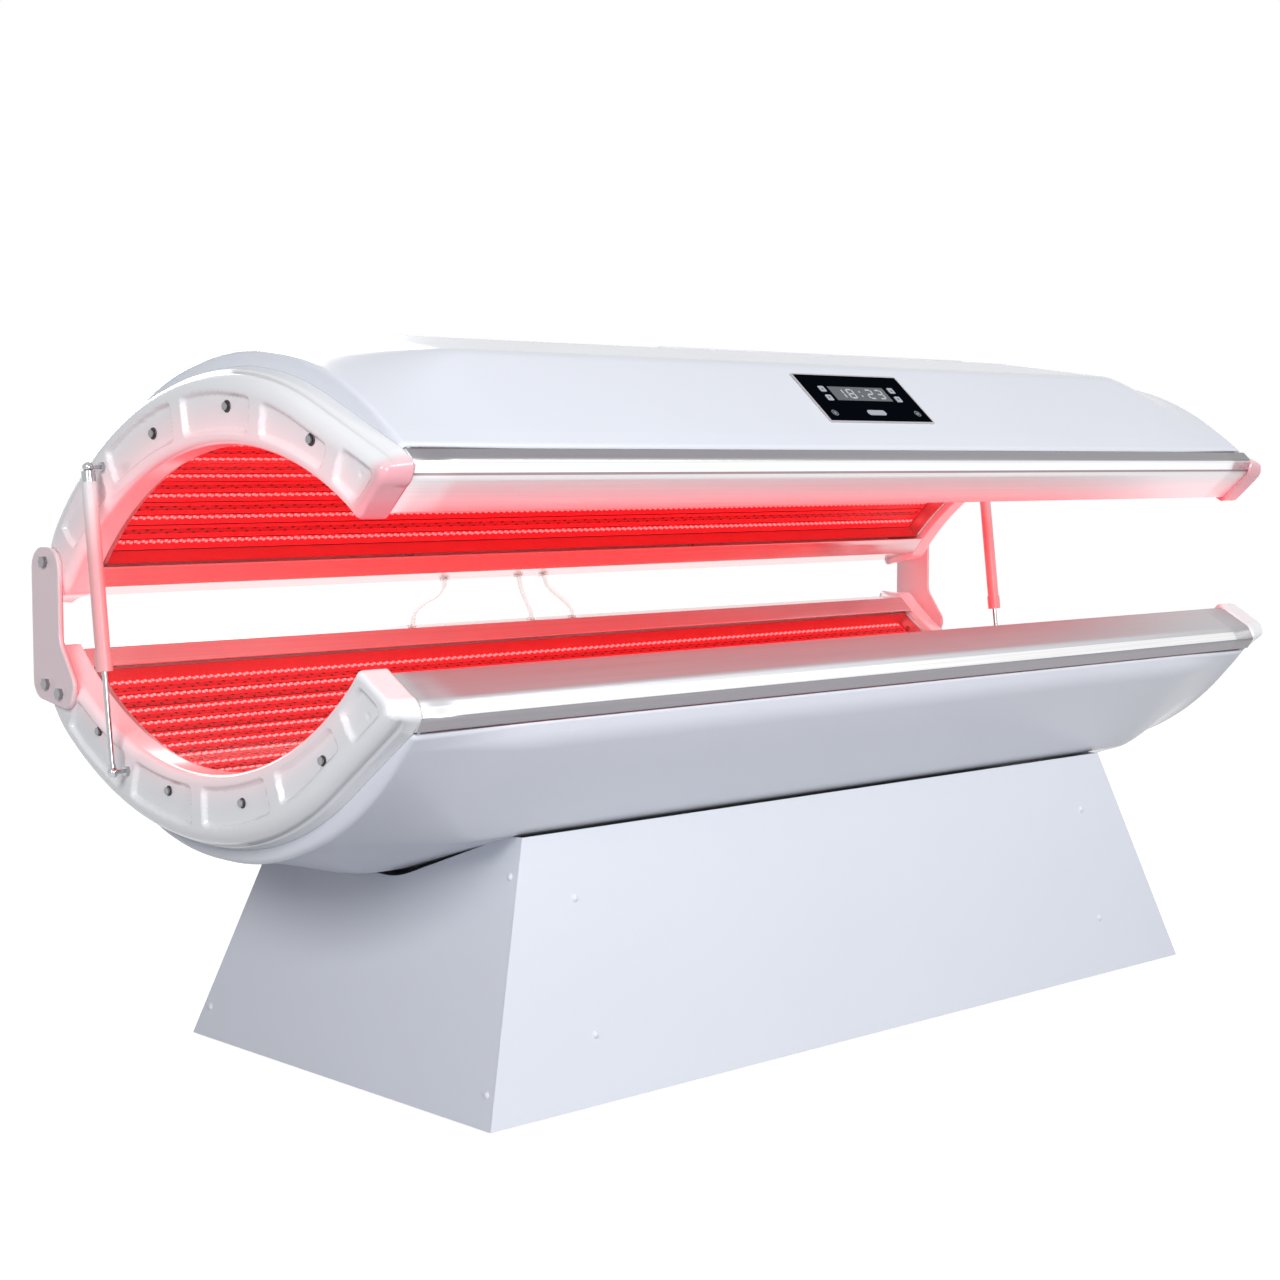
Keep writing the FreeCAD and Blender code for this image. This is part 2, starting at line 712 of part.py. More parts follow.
def link_plate(sign):
    """White plate that carries the canopy: bolted to the bed's end, with the pivot bolt at its top."""
    x0 = cap_face_x + link_standoff
    plate = prism(closed_outline(link_outline, link_radii, x0), link_wall)
    pads = [cylinder_x(p, bolt_head_across * 0.6, cap_face_x, x0) for p in link_bolts]
    pads.append(cylinder_x((pivot_y, pivot_z), bolt_head_across * 0.6, cap_face_x + SEAT_GAP, x0))
    plate = fused([plate] + pads)
    for place in link_bolts + ((pivot_y, pivot_z),):
        bore_r = bolt_d / 2 + bolt_clearance
        plate = plate.cut(cylinder_x(place, bore_r, cap_face_x - 1, cap_face_x + bolt_length))
    return side(plate, sign)


def hinge_bolts():
    seat = cap_face_x + link_standoff + link_wall
    solids = []
    for place in link_bolts + ((pivot_y, pivot_z),):
        head = hexagon_x(place, bolt_head_across, seat, seat + bolt_head)
        bolt = head.fuse(cylinder_x(place, bolt_d / 2, seat - bolt_length, seat)).removeSplitter()
        solids += [bolt, side(bolt, -1)]
    return Part.makeCompound(solids)


def ball_studs(place):
    """Hex nut against the cap, shank through it, neck and ball, one at each end of the bed."""
    nut = hexagon_x(place, stud_nut_across, cap_face_x, cap_face_x + stud_nut)
    neck = cylinder_x(place, stud_d / 2, cap_face_x - stud_shank, strut_plane)
    ball = Part.makeSphere(ball_d / 2, at(place, strut_plane))
    stud = fused([nut, neck, ball])
    return Part.makeCompound([stud, side(stud, -1)])


def strut_turn():
    dy = strut_upper[0] - strut_lower[0]
    dz = strut_upper[1] - strut_lower[1]
    return math.hypot(dy, dz), math.degrees(math.atan2(dy, dz))


def placed_strut(shape, sign):
    """A shape drawn up the Z axis from the lower ball, leaned over to its place at one end."""
    shape.rotate(V(0, 0, 0), X_AXIS, -strut_turn()[1])
    shape.translate(at(strut_lower, strut_plane))
    return side(shape, sign)


def socket_end(height, way, shank_d, shank_end):
    """Round chrome ball socket on the strut's axis, open on the side that faces the cap."""
    body = Part.makeSphere(socket_d / 2, V(0, 0, height))
    shank_low, shank_high = sorted((height + way * shank_start, shank_end))
    shank = Part.makeCylinder(shank_d / 2, shank_high - shank_low, V(0, 0, shank_low))
    body = body.fuse(shank).removeSplitter()
    cavity = Part.makeSphere(ball_d / 2 + ball_clearance, V(0, 0, height))
    throat = Part.makeCylinder(stud_d / 2 + socket_throat, socket_d, V(0, 0, height), V(-1, 0, 0))
    return body.cut(cavity).cut(throat)


def strut_parts():
    """Tube, rod and both sockets of one strut, drawn up the Z axis from the lower ball."""
    length = strut_turn()[0]
    tube_top = length - tube_start
    tube_low = tube_top - tube_length
    collar_top = tube_low + collar_length
    tube = Part.makeCylinder(tube_d / 2, tube_length, V(0, 0, tube_low))
    tube = tube.fuse(Part.makeCylinder(collar_d / 2, collar_length, V(0, 0, tube_low))).removeSplitter()
    tube = tube.cut(Part.makeCylinder(collar_bore / 2, collar_length, V(0, 0, tube_low)))
    tube = tube.cut(Part.makeCylinder(tube_bore / 2, tube_length - 2 * collar_length, V(0, 0, collar_top)))
    rod = Part.makeCylinder(rod_d / 2, tube_low + rod_inside - rod_start, V(0, 0, rod_start))
    return {
        "strut_tube": tube,
        "strut_tube_end": socket_end(length, -1, tube_d - shank_step, tube_top),
        "strut_rod": rod,
        "strut_rod_end": socket_end(0, 1, rod_d + shank_step, rod_start),
    }


def on_panel(shape):
    """A shape drawn flat (X along the bed, Y up the face, Z out of it) set on the canopy's front face."""
    base = shell_mid[0]
    way = unit(shell_mid[0], shell_mid[1])
    centre = (base[0] + way[0] * panel_slide, base[1] + way[1] * panel_slide)
    flipped = shape.mirror(V(0, 0, 0), V(0, 0, 1))
    flipped.Placement = FreeCAD.Placement(FreeCAD.Matrix(
        1, 0, 0, panel_x,
        0, way[0], -way[1], centre[0],
        0, way[1], way[0], centre[1],
        0, 0, 0, 1))
    return opened(flipped)


def slab(size, centre, z0, z1):
    return box(
        centre[0] - size[0] / 2, centre[0] + size[0] / 2,
        centre[1] - size[1] / 2, centre[1] + size[1] / 2, z0, z1)


def key_shape(name):
    return key_pill if name == "key_start" else (key_square, key_square)


def rounded_slab(size, centre, z0, z1, radius):
    block = slab(size, centre, z0, z1)
    uprights = [e for e in block.Edges if abs(e.Vertexes[0].Z - e.Vertexes[1].Z) > 1e-6]
    return block.makeFillet(radius, uprights)


def key_body(name, grow, z0, z1):
    size = key_shape(name)
    grown = (size[0] + 2 * grow, size[1] + 2 * grow)
    return rounded_slab(grown, key_places[name], z0, z1, min(grown) * (0.45 if name == "key_start" else 0.15))


panel_size = (panel_width, panel_height)
glass_size = (panel_width - 2 * bezel_border, panel_height - 2 * bezel_border)
glass_top = bezel_wall - glass_gap
glass_under = glass_top - glass_wall


def panel_bezel():
    """Thin metal frame on the shell, with a ledge that the glass lies on."""
    ledge = (glass_size[0] - 2 * cutout_margin, glass_size[1] - 2 * cutout_margin)
    body = rounded_slab(panel_size, (0, 0), 0, bezel_wall, bezel_border)
    window = (glass_size[0] + 2 * glass_gap, glass_size[1] + 2 * glass_gap)
    body = body.cut(slab(window, (0, 0), glass_under, bezel_wall))
    return body.cut(slab(ledge, (0, 0), 0, bezel_wall))


def panel_glass():
    body = slab(glass_size, (0, 0), glass_under, glass_top)
    for name in key_places:
        body = body.cut(key_body(name, key_gap, glass_under, glass_top))
    return body


def key(name):
    """One key: a cap that stands proud of the glass and a flange that keeps it in from behind."""
    flange_top = glass_under - SEAT_GAP
    cap = key_body(name, 0, flange_top, glass_top + key_proud)
    return cap.fuse(key_body(name, key_flange, flange_top - key_flange_wall, flange_top)).removeSplitter()


def control_board():
    low = glass_under - board_behind - control_board_size[2]
    board = slab(control_board_size, (0, 0), low, low + control_board_size[2])
    posts = []
    for sx in (-1, 1):
        for sy in (-1, 1):
            place = (sx * (control_board_size[0] / 2 - 5), sy * (control_board_size[1] / 2 - 5))
            posts.append(Part.makeCylinder(3, glass_under - low, V(place[0], place[1], low)))
    switch_top = glass_under - SEAT_GAP - key_flange_wall - key_travel - SEAT_GAP
    for place in key_places.values():
        posts.append(slab((6, 6), place, low, switch_top))
    return fused([board] + posts)


def display_module():
    low = glass_under - board_behind
    return slab(display_size, display_place, low, glass_under)


def panel_cutout():
    """The hole in the shell behind the panel."""
    size = (glass_size[0] - 2 * cutout_margin, glass_size[1] - 2 * cutout_margin)
    return slab(size, (0, 0), -shell_wall * 3, 0)


def from_half(shape):
    """Undo of the canopy's place: a panel shape given as part of the bed half."""
    turned = shape.copy()
    turned.rotate(V(0, pivot_y, pivot_z), X_AXIS, open_angle)
    return turned.mirror(V(0, 0, mirror_z), V(0, 0, 1))


def vent_cover():
    """Low cover on the canopy's flat top, drawn under the bed half's keel, with cross slots."""
    y0 = keel_y - vent_width / 2
    y1 = keel_y + vent_width / 2
    body = box(vent_x0, vent_x1, y0, y1, keel_z - vent_height, keel_z)
    body = body.cut(box(
        vent_x0 + vent_wall, vent_x1 - vent_wall, y0 + vent_wall, y1 - vent_wall,
        keel_z - vent_height + vent_wall, keel_z))
    pitch = (vent_x1 - vent_x0) / (vent_slots + 1)
    for i in range(vent_slots):
        x = vent_x0 + pitch * (i + 1)
        body = body.cut(box(
            x - vent_slot_width / 2, x + vent_slot_width / 2, y0 + vent_wall * 4, y1 - vent_wall * 4,
            keel_z - vent_height, keel_z))
    return body


fan_top = keel_z + shell_wall


def fan_frames():
    """Square fan housings against the inside of the shell, each with a spider that holds its axle."""
    solids = []
    for x in fan_places:
        centre = (x, keel_y)
        body = slab((fan_size, fan_size), centre, fan_top, fan_top + fan_depth)
        body = body.cut(Part.makeCylinder(fan_bore / 2, fan_depth, V(x, keel_y, fan_top)))
        spider_z = fan_top + fan_depth - vent_wall
        arms = [slab((fan_size, vent_wall * 2), centre, spider_z, fan_top + fan_depth)]
        arms.append(slab((vent_wall * 2, fan_size), centre, spider_z, fan_top + fan_depth))
        arms.append(Part.makeCylinder(fan_hub_d / 2, vent_wall, V(x, keel_y, spider_z)))
        arms.append(Part.makeCylinder(fan_axle_d / 2, fan_depth / 2, V(x, keel_y, fan_top + fan_depth / 2)))
        solids.append(fused([body] + arms))
    return Part.makeCompound(solids)


def fan_rotor(x):
    """Hub with slanted blades that turns on the axle of its housing."""
    low = fan_top + vent_wall
    high = fan_top + fan_depth - vent_wall * 2
    hub = Part.makeCylinder(fan_hub_d / 2, high - low, V(x, keel_y, low))
    blades = []
    reach = fan_bore / 2 - fan_tip_gap
    for i in range(fan_blades):
        blade = box(0, reach, -1, 1, -(high - low) * 0.45, (high - low) * 0.45)
        blade.rotate(V(0, 0, 0), X_AXIS, 35)
        blade.rotate(V(0, 0, 0), V(0, 0, 1), 360 * i / fan_blades)
        blade.translate(V(x, keel_y, (low + high) / 2))
        blades.append(blade)
    rotor = fused([hub] + blades)
    rotor = rotor.common(Part.makeCylinder(reach, high - low, V(x, keel_y, low)))
    bore = fan_axle_d / 2 + pivot_clearance
    return rotor.cut(Part.makeCylinder(bore, fan_depth, V(x, keel_y, fan_top + fan_depth / 2 - SEAT_GAP)))


# Pedestal


def front_y(z, sign):
    """The outer face of the front (-1) or rear (+1) panel at a height."""
    return base_y + sign * (base_half_width - base_lean_y * z / base_top_z)


def end_x(z):
    return base_half_length - base_lean_x * z / base_top_z


def long_slab(sign, depth0, depth1, z0, z1, x0, x1):
    """A leaning plate parallel to the front or rear panel, between two depths behind its outer face."""
    places = ((depth0, z0), (depth1, z0), (depth1, z1), (depth0, z1))
    corners = [(front_y(z, sign) - sign * depth, z) for depth, z in places]
    return prism(Part.makePolygon([at(p, x0) for p in corners + corners[:1]]), x1 - x0)


def end_slab(depth0, depth1, z0, z1, y0, y1):
    """A leaning plate parallel to the right end panel, between two depths behind its outer face."""
    corners = [(end_x(z) - d, z) for d, z in ((depth0, z0), (depth1, z0), (depth1, z1), (depth0, z1))]
    wire = Part.makePolygon([V(x, y0, z) for x, z in corners + corners[:1]])
    return Part.Face(wire).extrude(V(0, y1 - y0, 0))


def dome_screw():
    """White dome screw drawn along -Z from its seat, with its dome above."""
    ball_r = (dome_d ** 2 / 4 + dome_height ** 2) / (2 * dome_height)
    dome = Part.makeSphere(ball_r, V(0, 0, dome_height - ball_r))
    dome = dome.common(Part.makeCylinder(dome_d / 2, dome_height, V(0, 0, 0)))
    return dome.fuse(Part.makeCylinder(dome_shank_d / 2, dome_shank, V(0, 0, -dome_shank))).removeSplitter()


def screw_places():
    """Where each dome screw sits and which way it points out: front, rear and both end panels."""
    places = []
    tilt_y = math.atan(base_lean_y / base_top_z)
    tilt_x = math.atan(base_lean_x / base_top_z)
    for way in (-1, 1):
        for end in (-1, 1):
            for z in front_screw_z:
                out = V(0, way * math.cos(tilt_y), math.sin(tilt_y))
                places.append((V(end * front_screw_x, front_y(z, way), z), out))
            for z in end_screw_z:
                out = V(end * math.cos(tilt_x), 0, math.sin(tilt_x))
                places.append((V(end * end_x(z), front_y(z, way) - way * end_screw_edge, z), out))
    return places


def turned_out(shape, place, out):
    shape.Placement = FreeCAD.Placement(place, FreeCAD.Rotation(V(0, 0, 1), out))
    return shape


def screw_bores(radius):
    depth = dome_shank + 1
    return [turned_out(Part.makeCylinder(radius, depth + 2, V(0, 0, -depth)), p, o) for p, o in screw_places()]


def bored(shape, bores):
    for bore in bores:
        if shape.BoundBox.intersect(bore.BoundBox):
            shape = shape.cut(bore)
    return shape


def long_panel(sign, top, bores):
    """Front or rear pedestal panel: a leaning sheet as wide as the pedestal."""
    sheet = long_slab(sign, 0, base_sheet, base_lift, top, -base_half_length, base_half_length)
    corners = [(way * end_x(z), z) for way, z in ((-1, base_lift), (1, base_lift), (1, top), (-1, top))]
    depth = 2 * base_half_width
    wire = Part.makePolygon([V(x, base_y - depth, z) for x, z in corners + corners[:1]])
    return bored(sheet.common(Part.Face(wire).extrude(V(0, 2 * depth, 0))), bores)


def end_panel(sign, bores):
    """End panel between the front and rear panels, its top edge scooped out below the bed's shell."""
    sheet = end_slab(0, base_sheet, base_lift, base_top_z, base_y - base_half_width, base_y + base_half_width)
    inset = base_sheet + SEAT_GAP
    corners = [(front_y(z, way) - way * inset, z) for z, way in (
        (base_lift, -1), (base_lift, 1), (base_rear_top, 1), (base_top_z, -1))]
    outline = Part.makePolygon([at(p, 0) for p in corners + corners[:1]])
    under = moved_path(shell_mid[1:5], base_shadow)
    roof = [(under[3][0], under[3][1] + base_top_z), (under[0][0], under[0][1] + base_top_z)]
    scoop = closed_outline(roof + under, (0, 0, 0, base_scoop_r, base_scoop_r, 0), 0)
    sheet = sheet.common(prism(outline, base_half_length)).cut(prism(scoop, base_half_length))
    return bored(side(sheet, sign), bores)


def base_frame(bores):
    """Welded pedestal frame: floor ring, corner angles, top bars, two saddles under the bed and a shelf."""
    z0 = foot_height
    z1 = z0 + ring_size
    skin = base_sheet + SEAT_GAP
    ring_x = end_x(z1) - skin
    ring_y0 = front_y(z1, -1) + skin
    ring_y1 = front_y(z1, 1) - skin
    inner = ring_size - shelf_wall
    ring = box(-ring_x, ring_x, ring_y0, ring_y1, z0, z1)
    ring = ring.cut(box(
        -ring_x + shelf_wall, ring_x - shelf_wall, ring_y0 + shelf_wall, ring_y1 - shelf_wall,
        z0 + shelf_wall, z1 - shelf_wall))
    ring = ring.cut(box(-ring_x + inner, ring_x - inner, ring_y0 + inner, ring_y1 - inner, z0, z1 - shelf_wall))
    solids = [ring]
    top = base_top_z - corner_drop
    y_near = base_y - base_half_width
    y_far = base_y + base_half_width
    for way in (-1, 1):
        for end in (-1, 1):
            front_leg = long_slab(way, skin, skin + corner_wall, z1, top, -base_half_length, base_half_length)
            front_leg = front_leg.common(end_slab(skin, skin + corner_front_leg, z1, top, y_near, y_far))
            end_leg = long_slab(way, skin, skin + corner_end_leg, z1, top, -base_half_length, base_half_length)
            end_leg = end_leg.common(end_slab(skin, skin + corner_wall, z1, top, y_near, y_far))
            solids += [side(front_leg, end), side(end_leg, end)]
        run = end_x(keel_z) - skin - corner_wall
        solids.append(long_slab(way, skin, skin + top_bar_wall, keel_z - saddle_height, keel_z, -run, run))
    for x in (-saddle_x, saddle_x):
        y0 = front_y(keel_z, -1) + skin + top_bar_wall / 2
        y1 = front_y(keel_z, 1) - skin - top_bar_wall / 2
        half = saddle_width / 2
        saddle = box(x - half, x + half, y0, y1, keel_z - saddle_height, keel_z)
        half -= corner_wall
        solids.append(saddle.cut(box(x - half, x + half, y0, y1, keel_z - saddle_height, keel_z - corner_wall)))
    return bored(fused(solids), bores)


def base_feet():
    z1 = foot_height + ring_size
    edge = base_sheet + SEAT_GAP + foot_d / 2
    x = end_x(z1) - edge
    feet = []
    for px in (-x, 0, x):
        for way in (-1, 1):
            py = front_y(z1, way) - way * edge
            foot = Part.makeCone(foot_d / 2, foot_d / 2 * 0.7, foot_height, V(px, py, 0))
            feet.append(foot)
    return Part.makeCompound(feet)


def led_drivers():
    z0 = foot_height + ring_size
    solids = []
    for x in driver_places:
        for y in (base_y - driver_size[1], base_y + driver_size[1]):
            solids.append(slab(driver_size, (x, y), z0, z0 + driver_size[2]))
    return Part.makeCompound(solids)


def mains_inlet():
    """Flush power inlet on the rear panel, drawn flat and leaned to the panel."""
    size = inlet_size
    body = slab(size, (0, 0), -size[2], 0)
    flange = (size[0] + 4 * inlet_flange, size[1] + 2 * inlet_flange)
    body = body.fuse(slab(flange, (0, 0), 0, inlet_flange / 2)).removeSplitter()
    body = body.cut(slab((size[0] * 0.6, size[1] * 0.55), (0, 0), -size[2] * 0.8, inlet_flange))
    for offset in (-1, 0, 1):
        pin = slab((2.5, 6.0), (offset * size[0] * 0.17, 0), -size[2] * 0.85, -inlet_flange)
        body = body.fuse(pin)
    return inlet_placed(body)


def inlet_placed(shape):
    tilt = math.atan(base_lean_y / base_top_z)
    out = V(0, math.cos(tilt), math.sin(tilt))
    return turned_out(shape, V(inlet_place[0], front_y(inlet_place[1], 1), inlet_place[1]), out)


def inlet_bore():
    size = (inlet_size[0] + 2 * SEAT_GAP, inlet_size[1] + 2 * SEAT_GAP)
    return inlet_placed(slab(size, (0, 0), -inlet_size[2], inlet_size[2]))


# Cables


def cable(route):
    """A cable as straight runs joined by tangent arcs, each as large as its shorter run allows."""
    points = [V(*p) for p in route]
    edges = []
    here = points[0]
    for before, corner, after in zip(points, points[1:], points[2:]):
        back = (before - corner).normalize()
        onward = (after - corner).normalize()
        shorter = min((before - corner).Length, (after - corner).Length)
        reach = 0.45 * shorter
        half = math.acos(max(-1.0, min(1.0, back.dot(onward)))) / 2
        radius = reach * math.tan(half)
        print("cable bend radius", round(radius, 1))
        start = corner + back * reach
        end = corner + onward * reach
        middle = corner + (back + onward).normalize() * (radius / math.sin(half) - radius)
        edges.append(Part.LineSegment(here, start).toShape())
        edges.append(Part.Arc(start, middle, end).toShape())
        here = end
    edges.append(Part.LineSegment(here, points[-1]).toShape())
    path = Part.Wire(edges)
    way = points[1] - points[0]
    ring = Part.Wire(Part.makeCircle(cable_d / 2, points[0], way))
    tube = path.makePipeShell([ring], True, False)
    ideal = math.pi * cable_d ** 2 / 4 * path.Length
    print("cable length", round(path.Length, 1), "volume share", round(tube.Volume / ideal, 4))
    return tube


def grommet(seat, out):
    """Rubber ring that lines a cable's hole in a rear rail: a lip on the outside and a sleeve through it."""
    ring = Part.makeCylinder(grommet_d / 2, grommet_height, V(0, 0, 0))
    depth = rail_wall + grommet_sleeve
    sleeve = Part.makeCylinder(grommet_d / 2 - grommet_lip, depth, V(0, 0, -depth))
    body = ring.fuse(sleeve).removeSplitter()
    hole = Part.makeCylinder(cable_d / 2 + grommet_clearance, depth + grommet_height, V(0, 0, -depth))
    return turned_out(body.cut(hole), seat, out)


def rail_bore(seat, out):
    bore = Part.makeCylinder(grommet_d / 2 - grommet_lip + SEAT_GAP, rail_wall * 4, V(0, 0, -rail_wall * 2))
    return turned_out(bore, seat, out)


def bed_seats():
    roof = rear_rail_z(bed_rear_top)
    return [(V(route[0][0], route[0][1], roof), V(0, 0, 1)) for route in cable_routes.values()]


def canopy_seats():
    """Where the last run of each cable goes through the canopy's rear rail, on the open canopy."""
    turn = math.radians(open_angle)
    out = V(0, -math.sin(turn), -math.cos(turn))
    pivot = V(0, pivot_y, pivot_z)
    depth = pivot_z - (2 * mirror_z - rear_rail_z(canopy_rear_top))
    seats = []
    for route in cable_routes.values():
        start = V(*route[-2])
        run = V(*route[-1]) - start
        share = (depth - (start - pivot).dot(out)) / run.dot(out)
        seats.append((start + run * share, out))
    return seats


def grommets(seats):
    return Part.makeCompound([grommet(seat, out) for seat, out in seats])


def build():
    nodes = {}
    bolt_bore = bolt_d / 2 + bolt_clearance
    bed_bolts = [(p, bolt_bore) for p in link_bolts]
    pivot_free = [(pivot_half, bolt_d / 2 + 4 * SEAT_GAP)]

    # Pedestal
    panel_bores = screw_bores(dome_shank_d / 2 + dome_clearance)
    nodes["base_frame"] = base_frame(panel_bores)
    nodes["base_front_panel"] = long_panel(-1, base_top_z, panel_bores)
    nodes["base_rear_panel"] = long_panel(1, base_rear_top, panel_bores + [inlet_bore()])
    for name, sign in ENDS:
        nodes["base_%s_panel" % name] = end_panel(sign, panel_bores)
    nodes["base_panel_screws"] = Part.makeCompound([turned_out(dome_screw(), p, o) for p, o in screw_places()])
    nodes["base_feet"] = base_feet()
    nodes["led_drivers"] = led_drivers()
    nodes["mains_inlet"] = mains_inlet()

    # Bed half
    bed_bores = [rail_bore(seat, out) for seat, out in bed_seats()]
    bed_cap = end_cap(bed_screws, bed_bolts, stud_places["lower"], bed_rear_top)
    for name, sign in ENDS:
        nodes["bed_%s_end_cap" % name] = side(bed_cap, sign)
        nodes["%s_link_plate" % name] = link_plate(sign)
    nodes["bed_shell"] = shell(bed_screws, bed_bolts, bed_rear_top)
    nodes["bed_frame"] = half_frame(bed_screws, bed_bolts, bed_keel, bed_rear_top, False)
    nodes["bed_front_rail"] = front_rail_bar()
    nodes["bed_rear_rail"] = rear_rail_bar(bed_rear_top, bed_bores)
    nodes["bed_acrylic"] = acrylic(bed_rear_top)
    nodes["bed_led_tray"] = led_tray(bed_rear_top)
    nodes["bed_led_boards"] = led_boards(bed_rear_top, bed_board_count, bed_board_width)
    nodes["bed_cap_screws"] = cap_screws(bed_screws)
    nodes["hinge_bolts"] = hinge_bolts()
    nodes["lower_ball_studs"] = ball_studs(stud_places["lower"])
    nodes["bed_cable_grommets"] = grommets(bed_seats())
    for name, route in cable_routes.items():
        nodes[name] = cable(route)

    # Canopy half
    canopy_bores = [rail_bore(seat, out) for seat, out in canopy_seats()]
    rail_bores = [from_half(bore) for bore in canopy_bores]
    canopy_cap = opened(end_cap(canopy_screws, pivot_free, stud_places["upper"], canopy_rear_top))
    for name, sign in ENDS:
        nodes["canopy_%s_end_cap" % name] = side(canopy_cap, sign)
    cover = shell(canopy_screws, pivot_free, canopy_rear_top)
    cover = cover.cut(from_half(on_panel(panel_cutout())))
    for x in fan_places:
        hole_r = vent_width / 2 - 2 * vent_wall
        cover = cover.cut(Part.makeCylinder(hole_r, shell_wall * 3, V(x, keel_y, keel_z - shell_wall)))
    nodes["canopy_shell"] = opened(cover)
    pivot_bore = [(pivot_half, bolt_d / 2 + pivot_clearance)]
    frame = half_frame(canopy_screws, pivot_bore, canopy_keel, canopy_rear_top, True)
    nodes["canopy_frame"] = opened(frame)
    nodes["canopy_front_rail"] = opened(front_rail_bar())
    nodes["canopy_rear_rail"] = opened(rear_rail_bar(canopy_rear_top, rail_bores))
    nodes["canopy_acrylic"] = opened(acrylic(canopy_rear_top))
    nodes["canopy_led_tray"] = opened(led_tray(canopy_rear_top))
    nodes["canopy_led_boards"] = opened(led_boards(canopy_rear_top, canopy_board_count, canopy_board_width))
    nodes["canopy_cap_screws"] = opened(cap_screws(canopy_screws))
    nodes["upper_ball_studs"] = opened(ball_studs(stud_places["upper"]))
    nodes["canopy_cable_grommets"] = grommets(canopy_seats())
    nodes["canopy_vent_cover"] = opened(vent_cover())
    nodes["canopy_fan_frames"] = opened(fan_frames())
    for name, x in zip(("left", "right"), fan_places):
        nodes["%s_fan_rotor" % name] = opened(fan_rotor(x))

    # Control panel
    nodes["panel_bezel"] = on_panel(panel_bezel())
    nodes["panel_glass"] = on_panel(panel_glass())
    nodes["control_board"] = on_panel(control_board())
    nodes["display_module"] = on_panel(display_module())
    for name in key_places:
        nodes[name] = on_panel(key(name))

    # Gas struts
    for end, sign in ENDS:
        for name, shape in strut_parts().items():
            nodes["%s_%s" % (end, name)] = placed_strut(shape, sign)
    return nodes


def main():
    os.makedirs("parts", exist_ok=True)
    for name, shape in build().items():
        solids = shape.Solids
        whole = solids[0] if len(solids) == 1 else Part.makeCompound(solids)
        print(name, len(solids), "valid" if whole.isValid() else "NOT VALID", round(whole.Volume))
        whole.exportStep("parts/%s.step" % name)


main()
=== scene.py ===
"""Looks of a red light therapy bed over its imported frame.

X runs along the bed, Y to the rear and Z up. Sizes are in millimetres, and MM turns them into metres.
The camera, the lamps, the floor and the depths of grain are in metres."""
import json
import math

import bmesh
import bpy
import numpy as np
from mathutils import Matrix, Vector
from mathutils.geometry import delaunay_2d_cdt


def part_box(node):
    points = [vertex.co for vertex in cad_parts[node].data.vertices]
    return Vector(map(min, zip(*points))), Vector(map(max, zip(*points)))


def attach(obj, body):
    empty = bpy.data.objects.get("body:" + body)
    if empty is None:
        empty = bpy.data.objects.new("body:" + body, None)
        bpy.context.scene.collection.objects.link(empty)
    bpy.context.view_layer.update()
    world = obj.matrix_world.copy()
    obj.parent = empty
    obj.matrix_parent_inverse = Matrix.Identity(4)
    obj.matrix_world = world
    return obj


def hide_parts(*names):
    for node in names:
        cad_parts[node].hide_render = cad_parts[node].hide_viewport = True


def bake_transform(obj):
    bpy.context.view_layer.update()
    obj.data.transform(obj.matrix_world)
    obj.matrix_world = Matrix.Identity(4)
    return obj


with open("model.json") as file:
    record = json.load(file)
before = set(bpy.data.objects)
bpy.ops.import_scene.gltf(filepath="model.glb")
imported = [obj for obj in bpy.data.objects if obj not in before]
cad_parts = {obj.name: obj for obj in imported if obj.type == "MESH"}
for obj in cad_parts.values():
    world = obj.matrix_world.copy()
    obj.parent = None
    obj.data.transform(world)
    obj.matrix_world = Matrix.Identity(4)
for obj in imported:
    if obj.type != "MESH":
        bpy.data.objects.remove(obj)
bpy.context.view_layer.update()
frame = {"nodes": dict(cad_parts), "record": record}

MM = 0.001
SIDES = (("left", -1), ("right", 1))
HALVES = ("bed", "canopy")
CORNERS = ((-1, -1), (1, -1), (1, 1), (-1, 1))

# Section of a half, drawn for the bed; the canopy is the same section turned over and opened
TUNNEL = (17.0, 998.0)
TUNNEL_R = 535.0
PIVOT = (398.0, 745.0)
MIRROR_Z = 645.0
OPEN_ANGLE = math.radians(12.2)
REAR_TOP = {"bed": 620.0, "canopy": 600.0}

# End caps
CAP_FACE_X = 1000.0
CAP_BACK_X = 953.0
CAP_FLARE = 10.0
FLARE_CURVE = 1.6
FLARE_BLEND = 25
SIDE_STEPS = (0.15, 0.35, 0.6, 0.8, 0.93, 1.0)
PEAK_ANGLE = -47.3
TIP_TOP = (-378.0, 634.0)
TIP_NOSE = (-440.0, 597.0)
TIP_LIP = (-450.0, 572.0)
FRONT_SLOPE = 36.0
BELLY = (15.0, 364.0)
BELLY_FRONT_R = 520.0
BELLY_REAR_R = 600.0
REAR_Y = 442.0
REAR_CORNER_Y = 370.0
OUTLINE_STEP = 2.5
CORNER_SOFT = 7.0
CORNER_FADE = 1.4
EDGE_ROUND = {"tip": 7.0, "nose": 10.0, "belly": 24.0, "rear": 8.0, "inner": 15.0}
EDGE_BLEND = 8.0
RING_STEPS = (0.5, 1.3, 2.5, 4.2, 6.5, 9.5, 13.0, 17.0, 21.0)
RING_KEEP = 0.93
FACE_STEP = 3.4
FACE_ROW = FACE_STEP * 0.866
FACE_GAP = FACE_STEP * 0.6
SLOPE_STEP = 0.4
POCKET_DEPTH = 7.5
POCKET_WALL = 7.0
POCKET_MARGIN = 15.0
POCKET_BELLY = 9.0
POCKET_GAP = 24.0
POCKET_SOFT = 4.0
